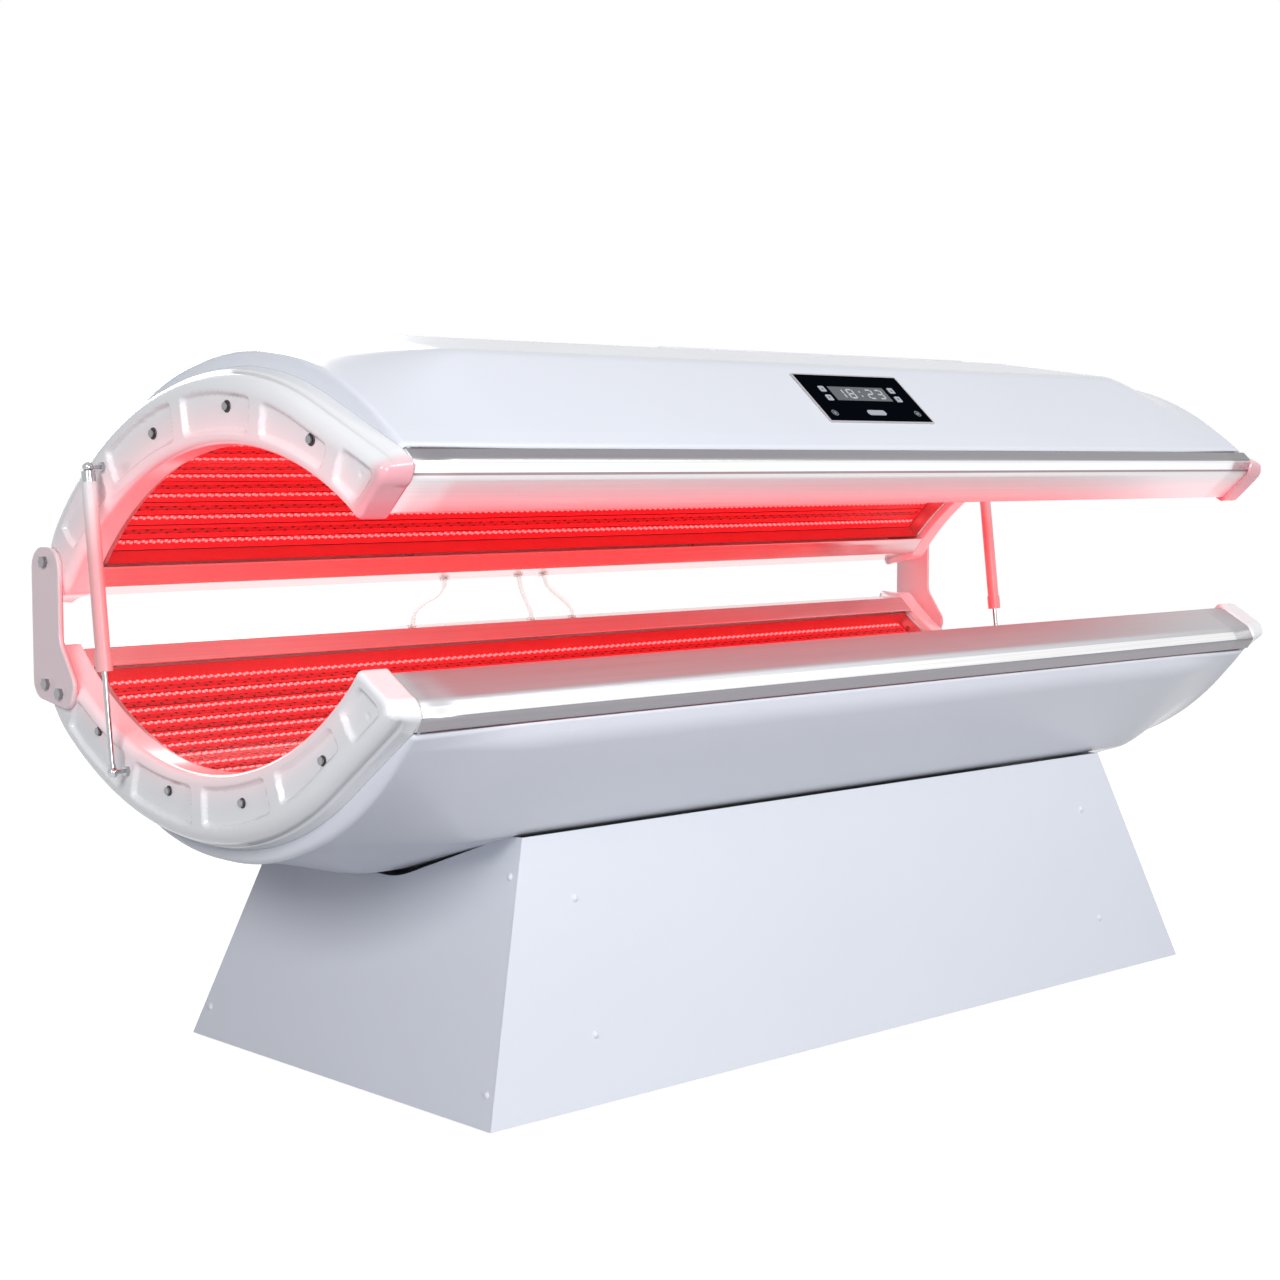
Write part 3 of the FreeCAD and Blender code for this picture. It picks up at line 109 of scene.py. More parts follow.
POCKET_TIP = -56.0
POCKET_LAST = 35.5
SPOKES = {"bed": (-38.5, -20.5, -1.5, 16.76), "canopy": (-38.5, -20.5, -1.5, 19.1)}
DIMPLES = {"bed": ((21.0, 411.0), (-391.0, 576.0)), "canopy": ((17.0, 402.0), (-392.0, 578.0))}
DIMPLE_R = 7.0
DIMPLE_DEPTH = 1.8
DIMPLE_CLEAR = DIMPLE_R * 1.3
DIMPLE_RINGS = (0.6, DIMPLE_R * 1.25, 8)
DIMPLE_SIDES = 20
# Each screw's angle about the tunnel and distance from its rim
SCREWS = {
    "bed": ((27.25, 26.3), (6.64, 35.8), (-12.11, 41.8), (-32.42, 43.1)),
    "canopy": ((5.84, 45.0), (-13.12, 51.3), (-32.92, 42.8)),
}
SCREW_CUP = {"bed": (5.6, 7.2), "canopy": (5.6, 8.6)}
SCREW_CUP_X = (991.0, 994.4)
CUP_INNER_BEVEL = 0.5
CUP_OUTER_BEVEL = 0.7
CUP_SIDES = 36

# Red glow painted as emission on parts beside the tunnel, which are no lamps: strength, and the distances
# from its axis between which it fades
PAINTED_GLOW_RED = (1.0, 0.05, 0.08, 1.0)
RIM_GLOW = {"bed": (0.2, 515.0, 595.0), "canopy": (0.36, 515.0, 620.0)}
RAIL_GLOW = {"bed": (0.03, 538.0, 590.0), "canopy": (0.5, 530.0, 622.0)}
CAP_WHITE = (0.92, 0.93, 0.955)
# Red light painted as pink into the canopy caps' colour near the mouth, and the depths from the mouth over
# which it and the bed caps' painted glow change
MOUTH_PAINTED_RED = (0.95, 0.4, 0.46)
MOUTH_FADE = {"bed": 110.0, "canopy": 40.0}

# Strut tubes: heights between which the red light painted into their colour fades from pink to white
STRUT_RED_LIGHT_FADE = (740.0, 860.0)

# Link plates at the pivot
LINK = (
    (441.0, 700.0), (441.0, 768.0), (359.0, 768.0), (359.0, 626.0),
    (316.0, 566.0), (332.0, 524.0), (441.0, 540.0), (441.0, 700.0))
LINK_R = (34.0, 34.0, 40.0, 24.0, 24.0, 30.0)
LINK_STEPS = (12, 2)
LINK_X = (1001.0, 1009.0)
LINK_ROUND = 2.8
LINK_ROUND_STEPS = 5
LINK_INSET = 0.5

# Covers of the two halves
SHELL_FRONT = {
    "bed": ((-436.0, 553.0), (-431.0, 525.0), (-305.0, 379.0)),
    "canopy": ((-436.0, 553.0), (-418.2, 527.4), (-314.5, 390.0)),
}
SHELL_FRONT_R = {"bed": (55.0, 26.0), "canopy": (45.0, 50.0)}
SHELL_MID = ((-60.0, 300.0), (80.0, 300.0), (342.0, 400.0), (447.0, 541.0))
SHELL_MID_R = (110.0, 110.0, 70.0, 40.0)
SHELL_END = (
    (-432.0, 550.0), (-412.7, 527.5), (-308.0, 415.0),
    (-89.0, 335.0), (109.0, 335.0), (328.0, 415.0), (447.0, 543.0))
SHELL_END_R = (45.0, 480.0, 480.0, 480.0, 480.0, 60.0)
SHELL_STEPS = (10, 3)
SHELL_REAR_DROP = 14.0
SHELL_WALL = 4.0
SHELL_BEAD = 8.0
BEAD_STEPS = 6
SHELL_FLANGE = (12.0, 24.0, 40.0)
TAPER_START = 740.0
TAPER_STEP = 12.0

# Front rails; a band is a painted highlight or painted shade, given as a material with the first and last
# point of the section that it lies between
RAIL = (
    (-379.0, 628.0), (-438.0, 595.0), (-450.0, 573.0), (-437.0, 554.0), (-415.0, 562.0), (-362.0, 604.0))
RAIL_R = (5.0, 16.0, 9.0, 5.0, 3.0, 4.0)
RAIL_STEPS = (8, 4)
RAIL_BANDS = {
    "bed": (("rail_bright", 25, 31), ("rail_shade", 31, 48)),
    "canopy": (("rail_line", 24, 25), ("rail_bright", 25, 32), ("rail_shade", 32, 48)),
}
RAIL_END_X = 952.7
RAIL_SPANS = 24
RAIL_BRUSH = (2.5, 700.0, 700.0)

# Light engine
BOARD_COUNT = {"bed": 12, "canopy": 14}
BOARD_FACE_R = {"bed": 568.1, "canopy": 568.4}
BOARD_ANGLES = {"bed": (-40.03, 39.72), "canopy": (-40.03, 36.53)}
BOARD_REACH = 930.0
LED_ROWS = {"bed": (-6.6, 26.5), "canopy": (6.0,)}
LED_PITCH = 6.6
LED_SIZE = (4.6, 4.6)
LED_TOP = (3.0, 3.0)
LED_HIGH = 1.8
LED_ZIGZAG = 1.2
RESISTOR_ROWS = {"bed": (10.0, -23.0), "canopy": (-16.0,)}
RESISTOR_PITCH = 12.0
RESISTOR_SIZE = (5.0, 3.0)
RESISTOR_TOP = (4.4, 2.4)
RESISTOR_HIGH = 0.9
RESISTOR_ZIGZAG = 3.4
BAND = 12.0
BAND_HIGH = 0.2
SEAMS = {"bed": (-1.2, -30.0), "canopy": (0.0, 24.0)}
SEAM = 2.4
SEAM_HIGH = 0.4
STRIP_BEVEL = 0.4
LED_LOOKS = {"chips": "led_chip", "resistors": "led_shade", "bands": "led_band", "seams": "led_seam"}

# Cables from the bed's rear rail into the canopy's
CABLE_D = 8.0
CABLES = {
    "left": (
        (-319, 398, 606), (-319, 398, 621), (-313, 400.4, 633.6), (-300, 402.4, 644.5), (-280, 404, 653.5),
        (-259, 405.4, 661), (-246.5, 407.2, 671), (-239.5, 409.5, 683), (-238, 413, 699)),
    "middle": (
        (-52, 398, 606), (-52, 398, 621), (-56, 400.9, 636.5), (-64, 403.9, 652.7), (-69, 406.7, 668),
        (-71, 409.5, 683), (-71.5, 413, 699)),
    "right": (
        (46, 398, 606), (46, 398, 621), (40, 400.4, 633.6), (27, 402.5, 645), (10.5, 404.6, 656.3),
        (-3.5, 406.8, 668), (-11, 409.3, 681), (-13, 413, 699)),
}
CABLE_BEND = (621.0, 690.0)

# Control panel, in its own plane: X to the right, Y up the canopy's front
GLASS_TOP = 2.8
GLASS_UNDER = 0.8
DISPLAY_CENTRE = (1.0, 11.0)
DISPLAY_SIZE = (130.0, 33.0)
PRINT_HIGH = 0.12
PRINT_BEVEL = 0.1
DIGIT_SIZE = (13.5, 20.0)
DIGIT_BAR = 3.4
DIGIT_GAP = DIGIT_BAR * 0.4
DIGIT_PLACES = (("1", -44.9), ("8", -20.6), ("2", 24.0), ("3", 47.0))
DIGIT_BARS = {"1": "bc", "8": "abcdefg", "2": "abged", "3": "abgcd"}
COLON_PLACE = 1.5
COLON_LIFT = 5.0
ROUND_MARKS = ((-96.6, -36.0), (99.8, -34.4))
ROUND_RING = (6.5, 5.0)
ROUND_DOT = (3.2, 0)
ROUND_SIDES = 40
KEY_TOP = 3.7
KEY_MARKS = {
    "key_left_upper": (-80.0, 20.5, 1), "key_left_lower": (-80.0, -0.5, -1),
    "key_right_upper": (82.0, 20.5, 1), "key_right_lower": (82.0, -0.5, -1),
}
KEY_MARK_SIZE = (6.4, 4.6)

# Edges rounded on nodes that carry over, and nodes with a finish other than their slot's
EDGE_WIDTHS = {
    "base_panel_screws": 0.4, "hinge_bolts": 0.9, "canopy_vent_cover": 1.2, "panel_bezel": 0.5,
    "mains_inlet": 0.8, "bed_cap_screws": 0.8, "canopy_cap_screws": 0.8, "bed_rear_rail": 0.8,
    "canopy_rear_rail": 0.8, "base_feet": 1.0,
}
LOOKS = {
    "left_strut_tube": "strut_paint_with_painted_red_light", "right_strut_tube": "strut_paint_with_painted_red_light",
    "bed_rear_rail": "rear_rail", "canopy_rear_rail": "rear_rail",
    "bed_cable_grommets": "cable_clear", "canopy_cable_grommets": "cable_clear",
}

# Camera and stage; a lamp has its place, what it points at, its size and its power
CAMERA_PLACE = (-2.6716, -2.6862, 0.8946)
CAMERA_WAY = (0.68106, 0.72800, -0.07862)
CAMERA_LENS = 63.56
SENSOR = 36.0
LAMPS = {
    "key_light": ((1.6, -3.8, 3.4), (0.0, 0.0, 0.6), (2.4, 1.6), 84.0),
    "left_light": ((-3.8, -1.8, 2.2), (-0.8, 0.0, 0.6), (1.4, 1.4), 70.0),
    "front_light": ((-1.4, -4.6, 1.2), (-0.3, 0.0, 0.5), (2.2, 1.6), 80.0),
    "rear_light": ((1.0, 4.4, 2.4), (0.0, 0.2, 0.6), (3.0, 2.0), 90.0),
}
WORLD_COLOUR = (0.9, 0.94, 1.0, 1.0)
WORLD_STRENGTH = 0.18
FLOOR_REACH = 40.0
FLOOR_PLAIN = (0.26, 0.27, 0.29, 1.0)
FLOOR_SHADED = (0.4, 0.4, 0.4, 1.0)
FLOOR_GLOW = 0.945


def placed(half, x, y, z):
    """A point of the bed's section, or the same point of the canopy's."""
    if half == "bed":
        return (x, y, z)
    dy = y - PIVOT[0]
    dz = 2 * MIRROR_Z - z - PIVOT[1]
    turn, lift = math.cos(OPEN_ANGLE), math.sin(OPEN_ANGLE)
    return (x, PIVOT[0] + dy * turn + dz * lift, PIVOT[1] - dy * lift + dz * turn)


# Materials


MATERIALS = {}


def new_node(tree, kind, **settings):
    """A node with its settings, where _ stands for the space in a socket's name."""
    made = tree.nodes.new(kind)
    for key, value in settings.items():
        socket = key.replace("_", " ")
        if socket in made.inputs:
            made.inputs[socket].default_value = value
        else:
            setattr(made, key, value)
    return made


def dimmed(colour, share):
    return tuple(c * share for c in colour)


class Shader:
    """A Principled material with texture in object space, kept in MATERIALS under its name."""

    def __init__(self, name, colour, rough, metallic=0.0, **sockets):
        material = bpy.data.materials.new(name)
        material.use_nodes = True
        MATERIALS[name] = material
        self.tree = material.node_tree
        self.bsdf = self.tree.nodes["Principled BSDF"]
        self.colour = colour
        self.rough = rough
        self.set(Base_Color=(*colour, 1.0), Roughness=rough, Metallic=metallic, **sockets)

    def set(self, **sockets):
        for socket, value in sockets.items():
            self.bsdf.inputs[socket.replace("_", " ")].default_value = value

    def feed(self, socket, source):
        self.tree.links.new(source, self.bsdf.inputs[socket])

    def through(self, kind, source, socket, output, **settings):
        """Sends a source through a new node to one of the node's outputs."""
        made = new_node(self.tree, kind, **settings)
        self.tree.links.new(source, made.inputs[socket])
        return made.outputs[output]

    def object_space(self, scale=(1.0, 1.0, 1.0), shift=(0.0, 0.0, 0.0)):
        """The object's own coordinates, scaled and then shifted."""
        place = new_node(self.tree, "ShaderNodeTexCoord").outputs["Object"]
        return self.through("ShaderNodeMapping", place, "Vector", "Vector", Scale=scale, Location=shift)

    def noise(self, scale, stretch=(1.0, 1.0, 1.0), detail=4.0):
        place = self.object_space(stretch)
        return self.through("ShaderNodeTexNoise", place, "Vector", "Fac", Scale=scale, Detail=detail)

    def eased(self, source, start, end, low=0.0, high=1.0):
        """A factor that eases from low to high while a length runs from start to end."""
        return self.through(
            "ShaderNodeMapRange", source, "Value", "Result", interpolation_type="SMOOTHSTEP",
            From_Min=start * MM, From_Max=end * MM, To_Min=low, To_Max=high)

    def paint_red_glow(self, half, strength, near, far, share=None):
        """Painted red glow, as emission, that fades with the distance from the tunnel's axis, times a share
        if one is given.
        """
        _, y, z = placed(half, 0.0, *TUNNEL)
        arm = self.object_space((0.0, 1.0, 1.0), (0.0, -y * MM, -z * MM))
        away = self.through("ShaderNodeVectorMath", arm, 0, "Value", operation="LENGTH")
        glow = self.eased(away, near, far, strength, 0.0)
        if share:
            product = new_node(self.tree, "ShaderNodeMath", operation="MULTIPLY")
            self.tree.links.new(glow, product.inputs[0])
            self.tree.links.new(share, product.inputs[1])
            glow = product.outputs[0]
        self.set(Emission_Color=PAINTED_GLOW_RED)
        self.feed("Emission Strength", glow)

    def from_mouth(self, half, reach):
        """A factor that climbs from 0 at the mouth's plane, which holds the cap tips' ends.

        The canopy's section is mirrored, so its way inward lies on the other side of the tip's line."""
        start = Vector(placed(half, 0.0, *TIP_TOP))
        end = Vector(placed(half, 0.0, *TIP_NOSE))
        axis = Vector((1.0 if half == "bed" else -1.0, 0.0, 0.0))
        depth = new_node(self.tree, "ShaderNodeVectorMath", operation="DOT_PRODUCT")
        depth.inputs[1].default_value = axis.cross(end - start).normalized()
        arm = self.object_space(shift=tuple(-c * MM for c in start))
        self.tree.links.new(arm, depth.inputs[0])
        return self.eased(depth.outputs["Value"], 0.0, reach)

    def vary_rough(self, source, spread):
        low = max(0.02, self.rough - spread)
        high = min(1.0, self.rough + spread)
        ranged = self.through("ShaderNodeMapRange", source, "Value", "Result", To_Min=low, To_Max=high)
        self.feed("Roughness", ranged)

    def ramp(self, source, low, high, start, end):
        """A colour that runs from low to high while a factor runs from start to end."""
        ramp = new_node(self.tree, "ShaderNodeValToRGB")
        for stop, place, colour in zip(ramp.color_ramp.elements, (start, end), (low, high)):
            stop.position = place
            stop.color = (*colour, 1.0)
        self.tree.links.new(source, ramp.inputs["Fac"])
        return ramp.outputs["Color"]

    def vary_colour(self, source, other, start=0.35, end=0.65):
        self.feed("Base Color", self.ramp(source, other, self.colour, start, end))

    def bump(self, source, strength, distance):
        relief = {"Strength": strength, "Distance": distance}
        self.feed("Normal", self.through("ShaderNodeBump", source, "Height", "Normal", **relief))


def moulded(name, colour, rough, grain=400.0, depth=0.00006, tint=0.985, **sockets):
    """Moulded plastic or rubber: fine grain and slow gloss changes."""
    shader = Shader(name, colour, rough, **sockets)
    shader.vary_rough(shader.noise(9.0), rough * 0.18)
    shader.vary_colour(shader.noise(3.0), dimmed(colour, tint))
    shader.bump(shader.noise(grain), 0.25, depth)


def painted(name, colour, rough, **sockets):
    """Powder coat: orange peel with faint cloudiness."""
    shader = Shader(name, colour, rough, **sockets)
    shader.vary_rough(shader.noise(5.0), 0.05)
    shader.vary_colour(shader.noise(2.0), dimmed(colour, 0.985))
    shader.bump(shader.noise(160.0, detail=2.0), 0.3, 0.00012)


def brushed(name, colour, rough, stretch, metallic=1.0, painted_glow_half=None):
    """Metal with drawing lines along one way, with a painted red glow beside the tunnel where a half is
    named.
    """
    shader = Shader(name, colour, rough, metallic)
    lines = shader.noise(1.0, stretch, 3.0)
    shader.vary_rough(lines, 0.07)
    shader.vary_colour(lines, dimmed(colour, 0.9), 0.3, 0.7)
    shader.bump(lines, 0.2, 0.00003)
    if painted_glow_half:
        shader.paint_red_glow(painted_glow_half, *RAIL_GLOW[painted_glow_half])


def polished(name, colour, rough):
    """Plated or turned metal with faint smears."""
    shader = Shader(name, colour, rough, 1.0)
    shader.vary_rough(shader.noise(60.0), rough * 0.4)
    shader.vary_colour(shader.noise(25.0), dimmed(colour, 0.93))
    shader.bump(shader.noise(300.0), 0.1, 0.00002)


def glowing(name, colour, rough, glow, strength):
    """A lit surface whose glow is a little uneven."""
    shader = Shader(name, colour, rough, Emission_Strength=strength)
    shader.feed("Emission Color", shader.ramp(shader.noise(30.0), dimmed(glow, 0.82), glow, 0.3, 0.7))
    shader.vary_rough(shader.noise(200.0), rough * 0.2)
    shader.bump(shader.noise(500.0), 0.2, 0.00005)


def clear_sheet(name):
    """Clear acrylic: mostly open, with a faint surface sheen."""
    shader = Shader(name, (1.0, 0.6, 0.6), 0.08, Alpha=0.04, Specular_IOR_Level=0.2)
    shader.vary_rough(shader.noise(14.0), 0.03)
    shader.bump(shader.noise(3.0, detail=1.0), 0.1, 0.0005)


def paint_with_painted_red_light(name):
    """White strut paint with red light painted in as pink over its lower part."""
    shader = Shader(name, (0.9, 0.86, 0.88), 0.3)
    height = shader.through("ShaderNodeSeparateXYZ", shader.object_space(), "Vector", "Z")
    shader.vary_colour(shader.eased(height, *STRUT_RED_LIGHT_FADE), (0.98, 0.46, 0.48), 0.0, 1.0)
    shader.vary_rough(shader.noise(6.0), 0.06)
    shader.bump(shader.noise(160.0, detail=2.0), 0.3, 0.0001)


def cap_with_painted_glow(name, half):
    """White cap plastic with a painted red glow beside the tunnel's rim."""
    shader = Shader(name, CAP_WHITE, 0.15, Specular_IOR_Level=0.85)
    shader.vary_rough(shader.noise(9.0), 0.04)
    shader.bump(shader.noise(220.0), 0.25, 0.00003)
    mouth = shader.from_mouth(half, MOUTH_FADE[half])
    if half == "canopy":
        # The canopy cap's colour is painted pink near the mouth as red light, turning white deeper in
        shader.vary_colour(mouth, MOUTH_PAINTED_RED, 0.0, 1.0)
        shader.paint_red_glow(half, *RIM_GLOW[half])
    else:
        shader.vary_colour(shader.noise(3.0), dimmed(CAP_WHITE, 0.985))
        shader.paint_red_glow(half, *RIM_GLOW[half], share=mouth)


RED_GLOW = (1.0, 0.003, 0.006)
painted("white_paint", (0.78, 0.805, 0.88), 0.36, Specular_IOR_Level=0.25)
# The link plates' pink is red light painted onto white paint
painted("link_paint_with_painted_red_light", (0.98, 0.8, 0.83), 0.3)
paint_with_painted_red_light("strut_paint_with_painted_red_light")
painted("grey_steel", (0.32, 0.33, 0.35), 0.5)
brushed("frame_aluminium", (0.7, 0.71, 0.73), 0.4, (3.0, 90.0, 90.0))
cap_with_painted_glow("white_gloss", "bed")
cap_with_painted_glow("canopy_gloss", "canopy")
moulded("white_shell", (0.81, 0.835, 0.91), 0.2, grain=60.0, depth=0.00008, Specular_IOR_Level=0.3)
# The bed's rail metal is a darker copy of the canopy's, as painted shade
brushed("rail_aluminium", (0.52, 0.52, 0.54), 0.42, RAIL_BRUSH, 0.72, painted_glow_half="bed")
brushed("canopy_rail", (0.7, 0.7, 0.72), 0.42, RAIL_BRUSH, painted_glow_half="canopy")
# Lighter and darker copies of the rail metal: a painted highlight along the nose, painted shade on the lip
# and a painted shadow line on the canopy's rail
brushed("rail_line", (0.36, 0.27, 0.28), 0.4, RAIL_BRUSH)
brushed("rail_bright", (0.9, 0.9, 0.91), 0.25, RAIL_BRUSH)
# The rear rails' pink base colour is a painted red reflection of the LEDs
brushed("rear_rail", (0.9, 0.66, 0.67), 0.2, (2.5, 500.0, 500.0), 0.6)
brushed("rail_shade", (0.3, 0.29, 0.31), 0.4, RAIL_BRUSH)
clear_sheet("clear_acrylic")
# The LED tray's glow is painted red light; the tray itself is no lamp
glowing("led_tray", (0.4, 0.01, 0.015), 0.45, RED_GLOW, 0.3)
glowing("led_board", (0.35, 0.01, 0.015), 0.55, RED_GLOW, 1.5)
glowing("led_band", (0.2, 0.004, 0.006), 0.55, RED_GLOW, 0.55)
moulded("led_seam", (0.1, 0.002, 0.003), 0.6, grain=700.0, tint=0.8)
glowing("led_chip", (0.9, 0.4, 0.4), 0.3, (1.0, 0.26, 0.27), 1.0)
moulded("led_shade", (0.05, 0.002, 0.003), 0.6, grain=700.0, tint=0.8)
polished("screw_steel", (0.32, 0.325, 0.34), 0.26)
polished("chrome", (0.46, 0.47, 0.49), 0.12)
moulded("rubber", (0.03, 0.03, 0.032), 0.75, grain=600.0, depth=0.0001)
moulded("pale_rubber", (0.82, 0.78, 0.72), 0.55, grain=500.0, depth=0.00008)
moulded("black_plastic", (0.025, 0.026, 0.03), 0.45, grain=350.0, depth=0.0001)
brushed("driver_case", (0.62, 0.63, 0.65), 0.38, (6.0, 120.0, 120.0))
moulded("vent_plastic", (0.82, 0.83, 0.87), 0.35, grain=260.0)
moulded("cable_clear", (0.95, 0.92, 0.9), 0.12, grain=500.0, Transmission_Weight=0.9, IOR=1.18)
moulded("panel_black", (0.002, 0.003, 0.005), 0.08, grain=3.0, depth=0.0002, Specular_IOR_Level=0.0)
moulded("circuit_board", (0.02, 0.16, 0.07), 0.45, grain=700.0, depth=0.0001)
moulded("display", (0.05, 0.06, 0.073), 0.3, grain=900.0, tint=0.9)
moulded("display_digit", (0.5, 0.56, 0.58), 0.3, grain=900.0, tint=0.9)
moulded("key_black", (0.42, 0.44, 0.5), 0.35, grain=500.0, tint=0.95)
moulded("key_mark", (0.05, 0.055, 0.065), 0.4, grain=500.0, tint=0.9)
moulded("mark_grey", (0.2, 0.215, 0.24), 0.4, grain=500.0, tint=0.9)
MATERIALS["led_chip"].cycles.emission_sampling = "NONE"


# Mesh helpers


def new_object(name, data):
    made = bpy.data.objects.new(name, data)
    bpy.context.scene.collection.objects.link(made)
    return made


def mesh_piece(name, points, faces, material, body, slot, smooth=True, others=(), normals=None):
    """A mesh in millimetres that rides on a body; its slot argument is not used.

    others holds further materials, each with the numbers of the faces that wear it. normals are the points'
    own, with zeros where the faces decide."""
    mesh = bpy.data.meshes.new(name)
    mesh.from_pydata([tuple(c * MM for c in p) for p in points], [], faces)
    work = bmesh.new()
    work.from_mesh(mesh)
    bmesh.ops.recalc_face_normals(work, faces=work.faces)
    work.to_mesh(mesh)
    work.free()
    mesh.polygons.foreach_set("use_smooth", [smooth] * len(mesh.polygons))
    mesh.materials.append(MATERIALS[material])
    for number, (other, worn) in enumerate(others, 1):
        mesh.materials.append(MATERIALS[other])
        for index in worn:
            mesh.polygons[index].material_index = number
    if normals is not None:
        mesh.normals_split_custom_set_from_vertices(normals)
    made = new_object(name, mesh)
    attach(made, body)
    return made


def soft_edges(obj, width):
    """Rounds the sharp edges of a piece for the render."""
    weld = obj.modifiers.new("weld", "WELD")
    weld.merge_threshold = 0.00001
    bevel = obj.modifiers.new("bevel", "BEVEL")
    bevel.width = width * MM
    bevel.segments = 3
    bevel.limit_method = "ANGLE"
    bevel.angle_limit = math.radians(35)
    bevel.harden_normals = True


def on_circle(centre, radius, angle):
    """A point at an angle from straight down."""
    turn = math.radians(angle)
    return (centre[0] + radius * math.sin(turn), centre[1] - radius * math.cos(turn))


def circle_points(centre, radius, count):
    turns = [2 * math.pi * k / count for k in range(count)]
    return [(centre[0] + radius * math.cos(turn), centre[1] + radius * math.sin(turn)) for turn in turns]


def line_points(a, b):
    count = max(1, round(math.dist(a, b) / OUTLINE_STEP))
    return [(a[0] + (b[0] - a[0]) * i / count, a[1] + (b[1] - a[1]) * i / count) for i in range(count)]


def arc_points(centre, radius, start, end):
    count = max(2, round(abs(math.radians(end - start)) * radius / OUTLINE_STEP))
    return [on_circle(centre, radius, start + (end - start) * i / count) for i in range(count)]


def rounded_path(points, radii, arc_steps, run_steps):
    """An open path with its inner corners rounded, always with the same number of points."""
    path = []
    last = Vector(points[0])
    for i in range(1, len(points) - 1):
        corner = Vector(points[i])
        back = (Vector(points[i - 1]) - corner).normalized()
        ahead = (Vector(points[i + 1]) - corner).normalized()
        half_turn = back.angle(ahead) / 2
        reach = radii[i - 1] / math.tan(half_turn)
        start = corner + back * reach
        end = corner + ahead * reach
        path += [last.lerp(start, k / run_steps) for k in range(run_steps)]
        middle = corner + (back + ahead).normalized() * radii[i - 1] / math.sin(half_turn)
        turn = math.pi - 2 * half_turn
        side = math.copysign(1.0, back.cross(ahead))
        for k in range(arc_steps):
            angle = -side * turn * k / arc_steps
            arm = start - middle
            path.append(middle + Vector((
                arm.x * math.cos(angle) - arm.y * math.sin(angle),
                arm.x * math.sin(angle) + arm.y * math.cos(angle))))
        last = end
    path += [last.lerp(Vector(points[-1]), k / run_steps) for k in range(run_steps + 1)]
    return [tuple(p) for p in path]


def swept_faces(rows, columns, closed=False):
    """Faces of a grid of points stored row by row."""
    faces = []
    for i in range(rows - 1):
        for j in range(columns if closed else columns - 1):
            k = (j + 1) % columns
            faces.append((i * columns + j, i * columns + k, (i + 1) * columns + k, (i + 1) * columns + j))
    return faces


def end_faces(total, count):
    """The flat ends of a sweep of closed rows."""
    return [tuple(range(count)), tuple(total - 1 - i for i in range(count))]


def gathered(blocks):
    """Many small meshes as one list of points and one of faces."""
    points, faces = [], []
    for block_points, block_faces in blocks:
        start = len(points)
        points += block_points
        faces += [tuple(start + i for i in face) for face in block_faces]
    return points, faces


def lengths(vectors):
    return np.linalg.norm(vectors, axis=-1)


def inward_normals(loop):
    """Unit normals to the left of a closed loop, which runs with its inside there."""
    ahead = np.roll(loop, -1, axis=0) - np.roll(loop, 1, axis=0)
    inward = np.stack((-ahead[:, 1], ahead[:, 0]), axis=1)
    return inward / lengths(inward)[:, None]


def filled(points, count):
    """Triangles inside a loop of the first points: places, faces and the given points behind each place."""
    edges = [(i, (i + 1) % count) for i in range(count)]
    verts, _, faces, sources, _, _ = delaunay_2d_cdt([Vector(p) for p in points], edges, [], 1, 1e-4)
    return np.array([tuple(v) for v in verts]), faces, sources


# End caps


def cap_outline(half):
    """The outline of a cap's face as named stretches of points, from its tip to its rear end and back."""
    rear_top = REAR_TOP[half]
    front_c = (BELLY[0], BELLY[1] + BELLY_FRONT_R)
    rear_c = (BELLY[0], BELLY[1] + BELLY_REAR_R)
    slope_start = on_circle(front_c, BELLY_FRONT_R, -FRONT_SLOPE)
    rise = math.tan(math.radians(FRONT_SLOPE))
    nose_way = (TIP_LIP[0] - TIP_NOSE[0], TIP_LIP[1] - TIP_NOSE[1])
    down = TIP_NOSE[1] - slope_start[1] - rise * (slope_start[0] - TIP_NOSE[0])
    fall = down / (-nose_way[1] - rise * nose_way[0])
    lip = (TIP_NOSE[0] + nose_way[0] * fall, TIP_NOSE[1] + nose_way[1] * fall)
    peak = on_circle(TUNNEL, TUNNEL_R, PEAK_ANGLE)
    turn = math.degrees(math.asin((REAR_CORNER_Y - BELLY[0]) / BELLY_REAR_R))
    corner_r = (REAR_Y - REAR_CORNER_Y) / (1 - math.sin(math.radians(turn)))
    corner_c = on_circle(rear_c, BELLY_REAR_R - corner_r, turn)
    rear_turn = math.degrees(math.acos((corner_c[1] - rear_top) / corner_r))
    rear_out = on_circle(corner_c, corner_r, rear_turn)
    inner_turn = math.degrees(math.acos((TUNNEL[1] - rear_top) / TUNNEL_R))
    rear_in = on_circle(TUNNEL, TUNNEL_R, inner_turn)
    belly = line_points(lip, slope_start)
    belly += arc_points(front_c, BELLY_FRONT_R, -FRONT_SLOPE, 0)
    belly += arc_points(rear_c, BELLY_REAR_R, 0, turn)
    belly += arc_points(corner_c, corner_r, turn, rear_turn)
    return {
        "tip": line_points(peak, TIP_NOSE),
        "nose": line_points(TIP_NOSE, lip),
        "belly": belly,
        "rear": line_points(rear_out, rear_in),
        "inner": arc_points(TUNNEL, TUNNEL_R, inner_turn, PEAK_ANGLE),
    }


def softened_loop(loop, corners, reach):
    """Rounds the corners of a closed loop by averaging the points near them."""
    away = lengths(loop[:, None] - corners[None]).min(axis=1)
    weight = np.clip(CORNER_FADE - away / reach, 0, 1)[:, None]
    for _ in range(round((reach / OUTLINE_STEP) ** 2)):
        middle = (np.roll(loop, 1, axis=0) + np.roll(loop, -1, axis=0)) / 2
        loop = loop + (middle - loop) * weight * 0.5
    return loop


